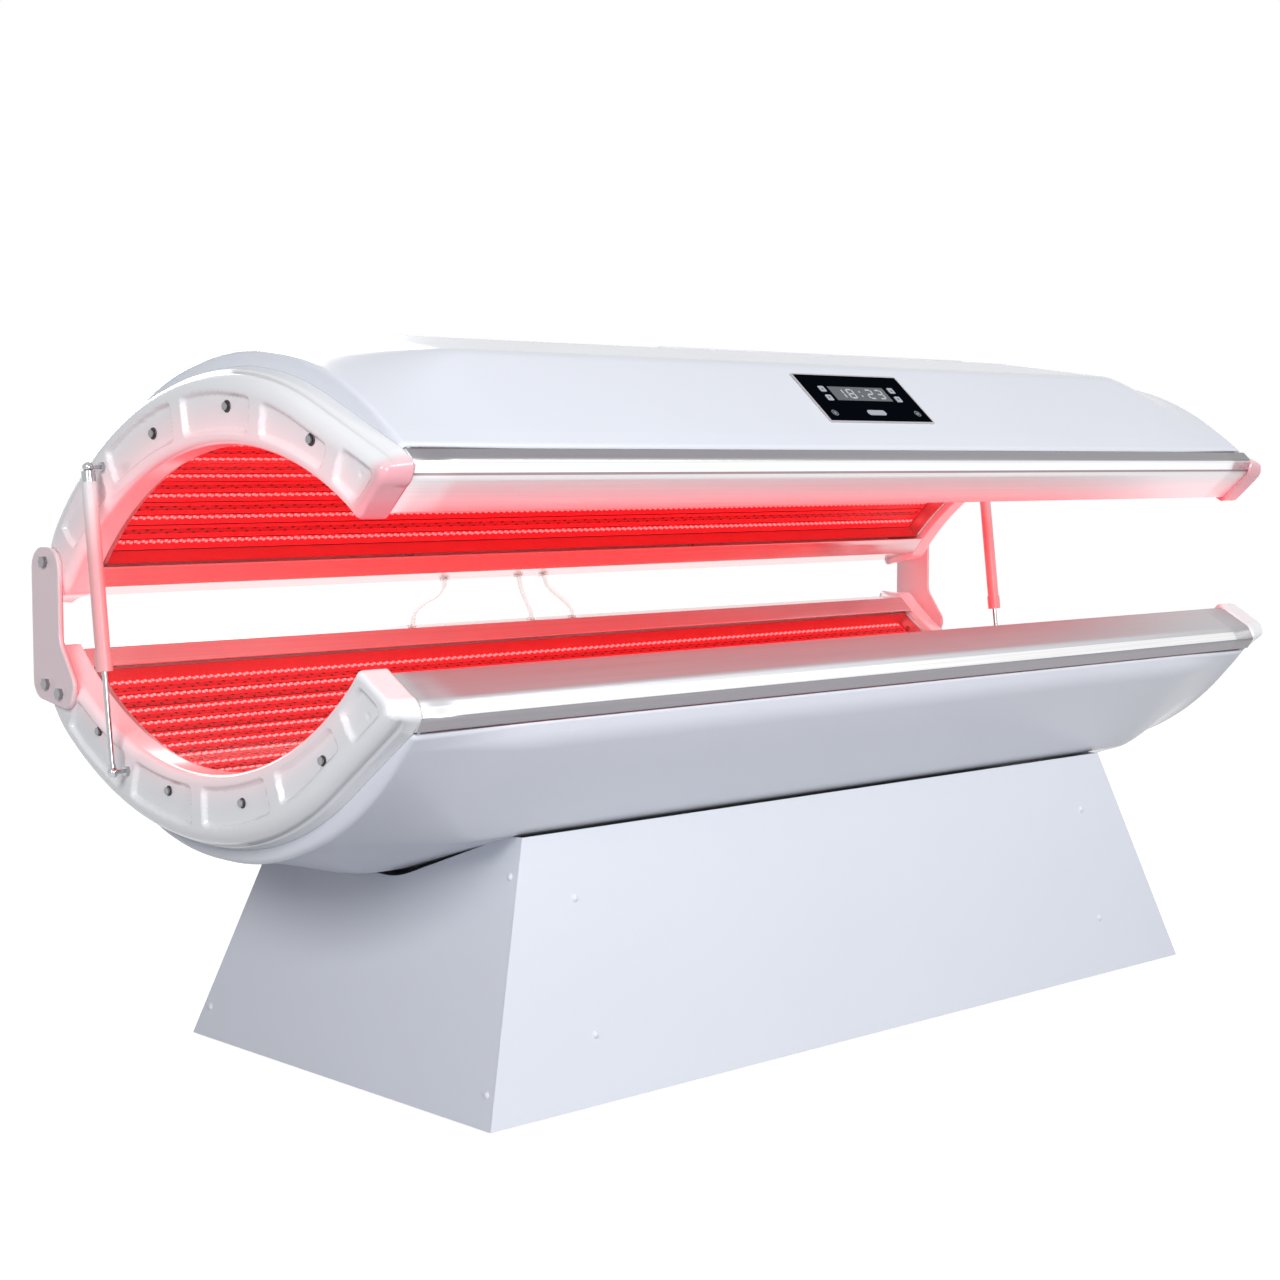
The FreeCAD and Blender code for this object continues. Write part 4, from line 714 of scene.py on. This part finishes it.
def nearest_on(points, line):
    """The nearest place on a polyline to each point."""
    best = np.full(len(points), np.inf)
    nearest = np.zeros((len(points), 2))
    for a, b in zip(line, line[1:]):
        run = b - a
        along = np.clip(((points - a) @ run) / (run @ run), 0, 1)
        spot = a + along[:, None] * run
        away = lengths(points - spot)
        nearer = away < best
        best[nearer] = away[nearer]
        nearest[nearer] = spot[nearer]
    return nearest


def distance_to(points, line):
    """The least distance from each point to a polyline."""
    return lengths(points - nearest_on(points, line))


def soft_least(values, soft):
    """A smooth minimum, so that fields meet without a crease."""
    stack = np.stack(values)
    low = stack.min(axis=0)
    return low - soft * np.log(np.exp(-(stack - low) / soft).sum(axis=0))


def smooth_step(value):
    value = np.clip(value, 0, 1)
    return value * value * (3 - 2 * value)


def pocket_depth(half, points, lines):
    """How far the recesses and dimples sink below a cap's face at each point."""
    away = {name: distance_to(points, line) for name, line in lines.items()}
    offset = points - np.array(TUNNEL)
    depth = np.zeros(len(points))
    spokes = (POCKET_TIP,) + SPOKES[half] + (POCKET_LAST,)
    for index, (start, end) in enumerate(zip(spokes, spokes[1:])):
        belly = POCKET_MARGIN + (POCKET_BELLY if index else 0)
        walls = [away["inner"] - POCKET_MARGIN, away["belly"] - belly, away["rear"] - POCKET_MARGIN]
        walls += [away["tip"] - POCKET_MARGIN, away["nose"] - POCKET_MARGIN]
        for angle, way in ((start, 1), (end, -1)):
            turn = math.radians(angle)
            across = offset @ np.array((math.cos(turn), math.sin(turn)))
            walls.append(way * across - POCKET_GAP / 2)
        depth += POCKET_DEPTH * smooth_step(soft_least(walls, POCKET_SOFT) / POCKET_WALL)
    for dimple in DIMPLES[half]:
        near = lengths(points - np.array(dimple)) / DIMPLE_R
        depth += DIMPLE_DEPTH * (1 - smooth_step(near))
    return depth


def face_points(half, loop, outline, inward):
    """Points inside a cap's outline: rings near its edge, a grid inside and rings round the dimples."""
    made = []
    for step in RING_STEPS:
        ring = loop + inward * step
        made.append(ring[distance_to(ring, outline) > step * RING_KEEP])
    low, high = loop.min(axis=0), loop.max(axis=0)
    grid = []
    for index, z in enumerate(np.arange(low[1], high[1], FACE_ROW)):
        ys = np.arange(low[0] + (index % 2) * FACE_STEP / 2, high[0], FACE_STEP)
        grid.append(np.stack((ys, np.full(len(ys), z)), axis=1))
    grid = np.vstack(grid)
    dimples = np.array(DIMPLES[half])
    kept = lengths(grid[:, None] - dimples[None]).min(axis=1) > DIMPLE_CLEAR
    kept &= inside(grid, loop)
    kept &= distance_to(grid, loop) > RING_STEPS[-1] + FACE_GAP
    made.append(grid[kept])
    for dimple in dimples:
        made += [circle_points(dimple, radius, DIMPLE_SIDES) for radius in np.linspace(*DIMPLE_RINGS)]
    return np.vstack(made)


def inside(points, loop):
    """Which points lie inside a closed loop, by counting crossings."""
    odd = np.zeros(len(points), bool)
    for a, b in zip(loop, np.roll(loop, -1, axis=0)):
        crosses = (a[1] > points[:, 1]) != (b[1] > points[:, 1])
        rise = b[1] - a[1] if b[1] != a[1] else 1.0
        odd ^= crosses & (points[:, 0] < (b[0] - a[0]) * (points[:, 1] - a[1]) / rise + a[0])
    return odd


def cap_sides(form, rim, loop, inward, on_belly):
    """Faces of a cap's flared side and of its back. Their points join the form."""
    count = len(loop)
    window = np.ones(FLARE_BLEND) / FLARE_BLEND
    flare_share = np.convolve(np.tile(on_belly * 1.0, 3), window, "same")[count:2 * count]
    cap_depth = CAP_FACE_X - CAP_BACK_X
    faces = []
    last = rim
    for share in SIDE_STEPS:
        ring = []
        for i in range(count):
            start = form[rim[i]][0]
            back = start + (cap_depth - start) * share
            flare = CAP_FLARE * flare_share[i] * (back / cap_depth) ** FLARE_CURVE
            ring.append(len(form))
            form.append((back, *(loop[i] - inward[i] * flare)))
        faces += [(last[i], last[(i + 1) % count], ring[(i + 1) % count], ring[i]) for i in range(count)]
        last = ring
    _, back_faces, sources = filled([form[i][1:] for i in last], count)
    return faces + [tuple(last[sources[i][0]] for i in face) for face in back_faces]


def cap_form(half):
    """One cap as points (depth behind its face, Y, Z), faces and the points' normals."""
    stretches = {name: np.array(line) for name, line in cap_outline(half).items()}
    corners = np.array([line[0] for line in stretches.values()])
    lines = {}
    for (name, line), end in zip(stretches.items(), np.roll(corners, -1, axis=0)):
        lines[name] = np.vstack((line, end))
    loop = softened_loop(np.vstack(list(stretches.values())), corners, CORNER_SOFT)
    outline = np.vstack((loop, loop[:1]))
    inward = inward_normals(loop)
    count = len(loop)
    points, faces, sources = filled(np.vstack((loop, face_points(half, loop, outline, inward))), count)
    inner = points - nearest_on(points, outline)
    edge = lengths(inner)
    weights = np.stack([np.exp(-distance_to(points, line) / EDGE_BLEND) + 1e-9 for line in lines.values()])
    rounds = np.array([EDGE_ROUND[name] for name in lines])
    radius = (weights * rounds[:, None]).sum(axis=0) / weights.sum(axis=0)
    lean = np.clip(1 - edge / radius, 0, 1)
    depth = pocket_depth(half, points, lines) + radius * (1 - np.sqrt(1 - lean ** 2))
    slope = np.stack([
        pocket_depth(half, points + step, lines) - pocket_depth(half, points - step, lines)
        for step in np.eye(2) * SLOPE_STEP], axis=1)
    slope /= 2 * SLOPE_STEP
    steep = lean / np.sqrt(np.maximum(1 - lean ** 2, 1e-6))
    slope -= (steep / np.maximum(edge, 1e-6))[:, None] * inner
    boundary = {index: new for new, old in enumerate(sources) for index in old}
    rim = [boundary[i] for i in range(count)]
    normals = np.hstack((np.ones((len(points), 1)), slope))
    normals[rim] = np.hstack((np.zeros((count, 1)), -inward))
    normals /= lengths(normals)[:, None]
    form = [(d, *p) for d, p in zip(depth, points)]
    on_belly = np.concatenate([np.full(len(line), name == "belly") for name, line in stretches.items()])
    faces = list(faces) + cap_sides(form, rim, loop, inward, on_belly)
    blank = np.zeros((len(form) - len(points), 3))
    return form, faces, np.vstack((normals, blank))


def end_caps():
    for half in HALVES:
        form, faces, normals = cap_form(half)
        origin = np.array(placed(half, 0.0, 0.0, 0.0))
        for side, sign in SIDES:
            turned = [tuple(np.array(placed(half, sign * x, y, z)) - origin) for x, y, z in normals]
            points = [placed(half, sign * (CAP_FACE_X - d), y, z) for d, y, z in form]
            name = "%s_%s_end_cap" % (half, side)
            look = "white_gloss" if half == "bed" else "canopy_gloss"
            piece = mesh_piece("moulded_" + name, points, faces, look, half, "white_gloss", normals=turned)
            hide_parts(name)


def screw_cups():
    """Dark cups round the cap screws."""
    foot, top = SCREW_CUP_X
    for half in HALVES:
        inner, outer = SCREW_CUP[half]
        profile = (
            (outer, foot), (outer, top - CUP_OUTER_BEVEL), (outer - CUP_OUTER_BEVEL, top),
            (inner + CUP_INNER_BEVEL, top), (inner, top - CUP_INNER_BEVEL), (inner, foot))
        rings = []
        for angle, reach in SCREWS[half]:
            centre = on_circle(TUNNEL, TUNNEL_R + reach, angle)
            for _, sign in SIDES:
                points = []
                for radius, x in profile:
                    circle = circle_points(centre, radius, CUP_SIDES)
                    points += [placed(half, sign * x, y, z) for y, z in circle]
                rings.append((points, swept_faces(len(profile), CUP_SIDES, closed=True)))
        mesh_piece(
            half + "_screw_cups", *gathered(rings), "black_plastic", half, "black_plastic", smooth=False)


def link_plates():
    """White plates with rounded edges at the pivots."""
    loop = np.array(rounded_path(LINK, LINK_R, *LINK_STEPS)[:-1])
    inward = inward_normals(loop)
    back, front = LINK_X
    rings = [(front, LINK_ROUND + LINK_INSET)]
    for k in range(LINK_ROUND_STEPS + 1):
        turn = math.radians(90 * k / LINK_ROUND_STEPS)
        rings.append((front - LINK_ROUND * (1 - math.cos(turn)), LINK_ROUND * (1 - math.sin(turn))))
    rings += [(back, 0.0), (back, LINK_INSET)]
    for side, sign in SIDES:
        points = []
        for x, inset in rings:
            points += [(sign * x, y, z) for y, z in loop + inward * inset]
        faces = swept_faces(len(rings), len(loop), closed=True) + end_faces(len(points), len(loop))
        name = side + "_link_plate"
        piece = mesh_piece("rounded_" + name, points, faces, "link_paint_with_painted_red_light", "bed", "white_paint")
        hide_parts(name)


# Covers


def shell_section(half, blend, inset):
    """A cover's section between that of its middle and that of its ends, moved inward by an inset."""
    corners = []
    for a, b in zip(SHELL_FRONT[half] + SHELL_MID, SHELL_END):
        corners.append((a[0] + (b[0] - a[0]) * blend, a[1] + (b[1] - a[1]) * blend))
    corners.append((corners[-1][0], REAR_TOP[half] - SHELL_REAR_DROP))
    radii = [a + (b - a) * blend for a, b in zip(SHELL_FRONT_R[half] + SHELL_MID_R, SHELL_END_R)]
    path = rounded_path(corners, radii, *SHELL_STEPS)
    moved = []
    for i, point in enumerate(path):
        ahead = Vector(path[min(i + 1, len(path) - 1)]) - Vector(path[max(i - 1, 0)])
        out = Vector((ahead.y, -ahead.x)).normalized()
        moved.append((point[0] - out.x * inset, point[1] - out.y * inset))
    return moved


def shell_stations():
    """Where the cover's sections stand: (X, share of the end section, inset of its turned-in bead)."""
    bead_x = CAP_BACK_X - SHELL_BEAD
    right = [(0.0, 0.0, 0.0)]
    x = TAPER_START
    while x < bead_x:
        right.append((x, smooth_step((x - TAPER_START) / (bead_x - TAPER_START)), 0.0))
        x += TAPER_STEP
    for k in range(BEAD_STEPS + 1):
        turn = math.radians(90 * k / BEAD_STEPS)
        right.append((bead_x + SHELL_BEAD * math.sin(turn), 1.0, SHELL_BEAD * (1 - math.cos(turn))))
    right += [(CAP_BACK_X, 1.0, inset) for inset in SHELL_FLANGE]
    return [(-x, blend, inset) for x, blend, inset in reversed(right[1:])] + right


def shells():
    stations = shell_stations()
    for half in HALVES:
        points = []
        for x, blend, inset in stations:
            section = shell_section(half, blend, inset)
            points += [placed(half, x, y, z) for y, z in section]
        faces = swept_faces(len(stations), len(section))
        piece = mesh_piece("formed_%s_shell" % half, points, faces, "white_shell", half, "white_shell")
        solid = piece.modifiers.new("wall", "SOLIDIFY")
        solid.thickness = SHELL_WALL * MM
        solid.offset = -1.0
        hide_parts(half + "_shell")


# Rails


def front_rails():
    start = tuple((a + b) / 2 for a, b in zip(RAIL[-1], RAIL[0]))
    path = rounded_path((start, *RAIL, start), RAIL_R, *RAIL_STEPS)[:-1]
    xs = [RAIL_END_X * (2 * k / RAIL_SPANS - 1) for k in range(RAIL_SPANS + 1)]
    for half in HALVES:
        points = [placed(half, x, y, z) for x in xs for y, z in path]
        faces = swept_faces(len(xs), len(path), closed=True)
        bands = [
            (look, [i for i in range(len(faces)) if first <= i % len(path) < last])
            for look, first, last in RAIL_BANDS[half]]
        faces += end_faces(len(points), len(path))
        look = "rail_aluminium" if half == "bed" else "canopy_rail"
        piece = mesh_piece(
            "drawn_%s_front_rail" % half, points, faces, look, half, "rail_aluminium", others=bands)
        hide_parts(half + "_front_rail")


# Light engine


def frustum(centre, along, across, up, base, top, high):
    """Points and faces of a small block that narrows upward, without its underside."""
    points = []
    for size, lift in ((base, 0.0), (top, high)):
        for a, c in CORNERS:
            points.append(tuple(
                centre[k] + along[k] * a * size[0] / 2 + across[k] * c * size[1] / 2 + up[k] * lift
                for k in range(3)))
    return points, [(4, 5, 6, 7)] + [(i, (i + 1) % 4, 4 + (i + 1) % 4, 4 + i) for i in range(4)]


def board_places(half):
    """For each LED board: a function from (X, offset across it) to a point, its ways across and up."""
    start, end = BOARD_ANGLES[half]
    count = BOARD_COUNT[half]
    for index in range(count):
        angle = start + (end - start) * (index + 0.5) / count
        turn = math.radians(angle)
        foot = on_circle(TUNNEL, BOARD_FACE_R[half], angle)
        across = (math.cos(turn), math.sin(turn))

        def spot(x, offset, half=half, foot=foot, across=across):
            return placed(half, x, foot[0] + across[0] * offset, foot[1] + across[1] * offset)

        origin = Vector(spot(0, 0))
        side = (Vector(spot(0, 1)) - origin).normalized()
        inward = Vector(placed(half, 0, *TUNNEL)) - origin
        yield spot, tuple(side), tuple(inward.normalized())


def zigzag(row, pitch, shift):
    """Places (X, offset) along a row of a board, by turns on either side of it."""
    count = int(2 * BOARD_REACH / pitch)
    for k in range(count):
        x = -BOARD_REACH + (k + 0.5) * 2 * BOARD_REACH / count
        yield x, row + shift * (1 if k % 2 else -1)


def board_blocks(half):
    """What stands on a board: its kind, X, offset across the board, base, top and height."""
    reach = 2 * BOARD_REACH
    for row in LED_ROWS[half]:
        for x, offset in zigzag(row, LED_PITCH, LED_ZIGZAG):
            yield "chips", x, offset, LED_SIZE, LED_TOP, LED_HIGH
    for row in SEAMS[half]:
        yield "seams", 0, row, (reach, SEAM), (reach, SEAM - STRIP_BEVEL), SEAM_HIGH
    for row in RESISTOR_ROWS[half]:
        yield "bands", 0, row, (reach, BAND), (reach, BAND - STRIP_BEVEL), BAND_HIGH
        for x, offset in zigzag(row, RESISTOR_PITCH, RESISTOR_ZIGZAG):
            yield "resistors", x, offset, RESISTOR_SIZE, RESISTOR_TOP, RESISTOR_HIGH


def light_rows():
    along = (1.0, 0.0, 0.0)
    for half in HALVES:
        rows = {kind: [] for kind in LED_LOOKS}
        for spot, side, up in board_places(half):
            for kind, x, offset, *sizes in board_blocks(half):
                rows[kind].append(frustum(spot(x, offset), along, side, up, *sizes))
        for kind, look in LED_LOOKS.items():
            mesh_piece(
                "%s_led_%s" % (half, kind), *gathered(rows[kind]), look, half, "led_board", smooth=False)


# Cables


def cables():
    for name, route in CABLES.items():
        curve = bpy.data.curves.new(name + "_cable_line", "CURVE")
        curve.dimensions = "3D"
        curve.resolution_u = 12
        spline = curve.splines.new("NURBS")
        spline.points.add(len(route) - 1)
        for point, place in zip(spline.points, route):
            point.co = (*(c * MM for c in place), 1.0)
        spline.order_u = 3
        spline.use_endpoint_u = True
        line = new_object(name + "_cable_line", curve)
        bpy.context.view_layer.update()
        path = [tuple(v.co) for v in bpy.data.meshes.new_from_object(line).vertices]
        curve.bevel_depth = CABLE_D / 2 * MM
        curve.bevel_resolution = 6
        curve.use_fill_caps = True
        bpy.context.view_layer.update()
        mesh = bpy.data.meshes.new_from_object(line)
        bpy.data.objects.remove(line)
        mesh.polygons.foreach_set("use_smooth", [True] * len(mesh.polygons))
        mesh.materials.append(MATERIALS["cable_clear"])
        tube = new_object("moulded_%s_cable" % name, mesh)
        start = tuple(c * MM for c in route[0])
        bend = [(*start[:2], z * MM) for z in CABLE_BEND]
        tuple(bend[0])
        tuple(bend[1])
        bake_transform(tube)
        length = sum(math.dist(a, b) for a, b in zip(path, path[1:]))
        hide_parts(name + "_cable")


# Control panel


def panel_frame():
    """The panel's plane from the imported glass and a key's travel: its origin and its three directions."""
    low, high = (np.array(corner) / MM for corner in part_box("panel_glass"))
    joints = {joint["name"]: joint for joint in frame["record"]["behaviour"]["joints"]}
    out = -np.array(joints["key_start_press"]["axis"])
    right = np.array((1.0, 0.0, 0.0))
    up = np.cross(out, right)
    return (low + high) / 2 - out * (GLASS_TOP + GLASS_UNDER) / 2, right, up, out


def panel_point(plane, x, y, lift):
    origin, right, up, out = plane
    return tuple(origin + right * x + up * y + out * lift)


def print_block(plane, centre, size, base):
    """A flat printed bar on the panel."""
    top = (size[0] - 2 * PRINT_BEVEL, size[1] - 2 * PRINT_BEVEL)
    return frustum(panel_point(plane, *centre, base), *plane[1:], size, top, PRINT_HIGH)


def digit_blocks(plane, sign, centre, base):
    """The lit bars of one seven-bar number."""
    wide, high = DIGIT_SIZE
    level = (wide - DIGIT_BAR, DIGIT_BAR)
    upright = (DIGIT_BAR, high / 2 - DIGIT_GAP)
    bars = {
        "a": (0, high / 2, level), "g": (0, 0, level), "d": (0, -high / 2, level),
        "b": (wide / 2, high / 4, upright), "c": (wide / 2, -high / 4, upright),
        "f": (-wide / 2, high / 4, upright), "e": (-wide / 2, -high / 4, upright),
    }
    blocks = []
    for name in DIGIT_BARS[sign]:
        x, y, size = bars[name]
        blocks.append(print_block(plane, (centre[0] + x, centre[1] + y), size, base))
    return blocks


def disc(plane, centre, radius, hole, base):
    """A flat printed ring or disc on the panel."""
    top = base + PRINT_HIGH
    points = []
    for r, lift in ((hole, top), (radius - PRINT_BEVEL, top), (radius, base)):
        points += [panel_point(plane, x, y, lift) for x, y in circle_points(centre, r, ROUND_SIDES)]
    faces = swept_faces(3, ROUND_SIDES, closed=True)
    if hole == 0:
        faces = faces[ROUND_SIDES:] + [tuple(range(ROUND_SIDES, 2 * ROUND_SIDES))]
    return points, faces


def arrow(plane, centre, way, base):
    """A small raised arrowhead on a key."""
    wide, high = KEY_MARK_SIZE
    points = []
    for lift in (base, base + PRINT_HIGH):
        for x, y in ((-wide / 2, -high / 2), (wide / 2, -high / 2), (0.0, high / 2)):
            points.append(panel_point(plane, centre[0] + x, centre[1] + way * y, lift))
    return points, [(3, 4, 5)] + [(i, (i + 1) % 3, 3 + (i + 1) % 3, 3 + i) for i in range(3)]


def control_panel():
    plane = panel_frame()
    x, y = DISPLAY_CENTRE
    window = print_block(plane, DISPLAY_CENTRE, DISPLAY_SIZE, GLASS_TOP)
    mesh_piece("display_window", *window, "display", "canopy", "display", smooth=False)
    blocks = []
    base = GLASS_TOP + PRINT_HIGH
    for sign, place in DIGIT_PLACES:
        blocks += digit_blocks(plane, sign, (x + place, y), base)
    for lift in (-COLON_LIFT, COLON_LIFT):
        blocks.append(print_block(plane, (x + COLON_PLACE, y + lift), (DIGIT_BAR, DIGIT_BAR), base))
    mesh_piece("display_digits", *gathered(blocks), "display_digit", "canopy", "display", smooth=False)
    marks = []
    for centre in ROUND_MARKS:
        marks += [disc(plane, centre, *size, GLASS_TOP) for size in (ROUND_RING, ROUND_DOT)]
    mesh_piece("panel_round_marks", *gathered(marks), "mark_grey", "canopy", "panel_black", smooth=False)
    for key, (x, y, way) in KEY_MARKS.items():
        mark = arrow(plane, (x, y), way, KEY_TOP)
        mesh_piece(key + "_mark", *mark, "key_mark", key, "key_black", smooth=False)


# Carried-over nodes


def dress_nodes():
    for name, node in frame["nodes"].items():
        for slot in node.material_slots:
            slot.material = MATERIALS[LOOKS.get(name, slot.material.name.split(".")[0])]
        if name in EDGE_WIDTHS:
            soft_edges(node, EDGE_WIDTHS[name])


# Stage


def seen_rays(tree):
    """A factor that is 1 for what the camera sees directly, mirrored or through glass."""
    path = new_node(tree, "ShaderNodeLightPath")
    seen = path.outputs["Is Camera Ray"]
    for kind in ("Is Glossy Ray", "Is Transmission Ray"):
        either = new_node(tree, "ShaderNodeMath", operation="MAXIMUM")
        tree.links.new(seen, either.inputs[0])
        tree.links.new(path.outputs[kind], either.inputs[1])
        seen = either.outputs[0]
    return seen


def split_by_ray(tree, thrown, seen, output):
    """Gives an output one shader for the light that it throws and another for what is seen."""
    mix = new_node(tree, "ShaderNodeMixShader")
    tree.links.new(seen_rays(tree), mix.inputs[0])
    tree.links.new(thrown.outputs[0], mix.inputs[1])
    tree.links.new(seen.outputs[0], mix.inputs[2])
    tree.links.new(mix.outputs[0], tree.nodes[output].inputs["Surface"])


def white_world():
    world = bpy.data.worlds.new("studio")
    bpy.context.scene.world = world
    world.use_nodes = True
    tree = world.node_tree
    thrown = tree.nodes["Background"]
    thrown.inputs["Color"].default_value = WORLD_COLOUR
    thrown.inputs["Strength"].default_value = WORLD_STRENGTH
    seen = new_node(tree, "ShaderNodeBackground", Color=(1.0, 1.0, 1.0, 1.0))
    split_by_ray(tree, thrown, seen, "World Output")


def floor_material():
    """White to the eye with the object's shadow, and grey in the light that it throws back."""
    material = bpy.data.materials.new("studio_floor")
    material.use_nodes = True
    tree = material.node_tree
    tree.nodes.remove(tree.nodes["Principled BSDF"])
    plain = new_node(tree, "ShaderNodeBsdfDiffuse", Color=FLOOR_PLAIN)
    shaded = new_node(tree, "ShaderNodeBsdfDiffuse", Color=FLOOR_SHADED)
    glow = new_node(tree, "ShaderNodeEmission", Strength=FLOOR_GLOW)
    both = new_node(tree, "ShaderNodeAddShader")
    tree.links.new(shaded.outputs[0], both.inputs[0])
    tree.links.new(glow.outputs[0], both.inputs[1])
    split_by_ray(tree, plain, both, "Material Output")
    return material


def studio_floor():
    corners = [(x * FLOOR_REACH, y * FLOOR_REACH, 0) for x, y in CORNERS]
    mesh = bpy.data.meshes.new("studio_floor")
    mesh.from_pydata(corners, [], [(0, 1, 2, 3)])
    mesh.materials.append(floor_material())
    floor = new_object("studio_floor", mesh)


def aimed(name, data, place, way):
    """An object that stands at a place and looks along a way."""
    made = new_object(name, data)
    made.location = place
    made.rotation_mode = "QUATERNION"
    made.rotation_quaternion = Vector(way).to_track_quat("-Z", "Y")
    return made


def area_lights():
    for name, (place, target, size, power) in LAMPS.items():
        light = bpy.data.lights.new(name, "AREA")
        light.shape = "RECTANGLE"
        light.size, light.size_y = size
        light.energy = power
        aimed(name, light, place, Vector(target) - Vector(place))


def camera():
    data = bpy.data.cameras.new("photo_camera")
    data.sensor_width = SENSOR
    data.lens = CAMERA_LENS
    bpy.context.scene.camera = aimed("photo_camera", data, CAMERA_PLACE, CAMERA_WAY)


bpy.context.scene.view_settings.view_transform = "Standard"
camera()
cables()
dress_nodes()
end_caps()
screw_cups()
link_plates()
shells()
front_rails()
light_rows()
control_panel()
white_world()
studio_floor()
area_lights()
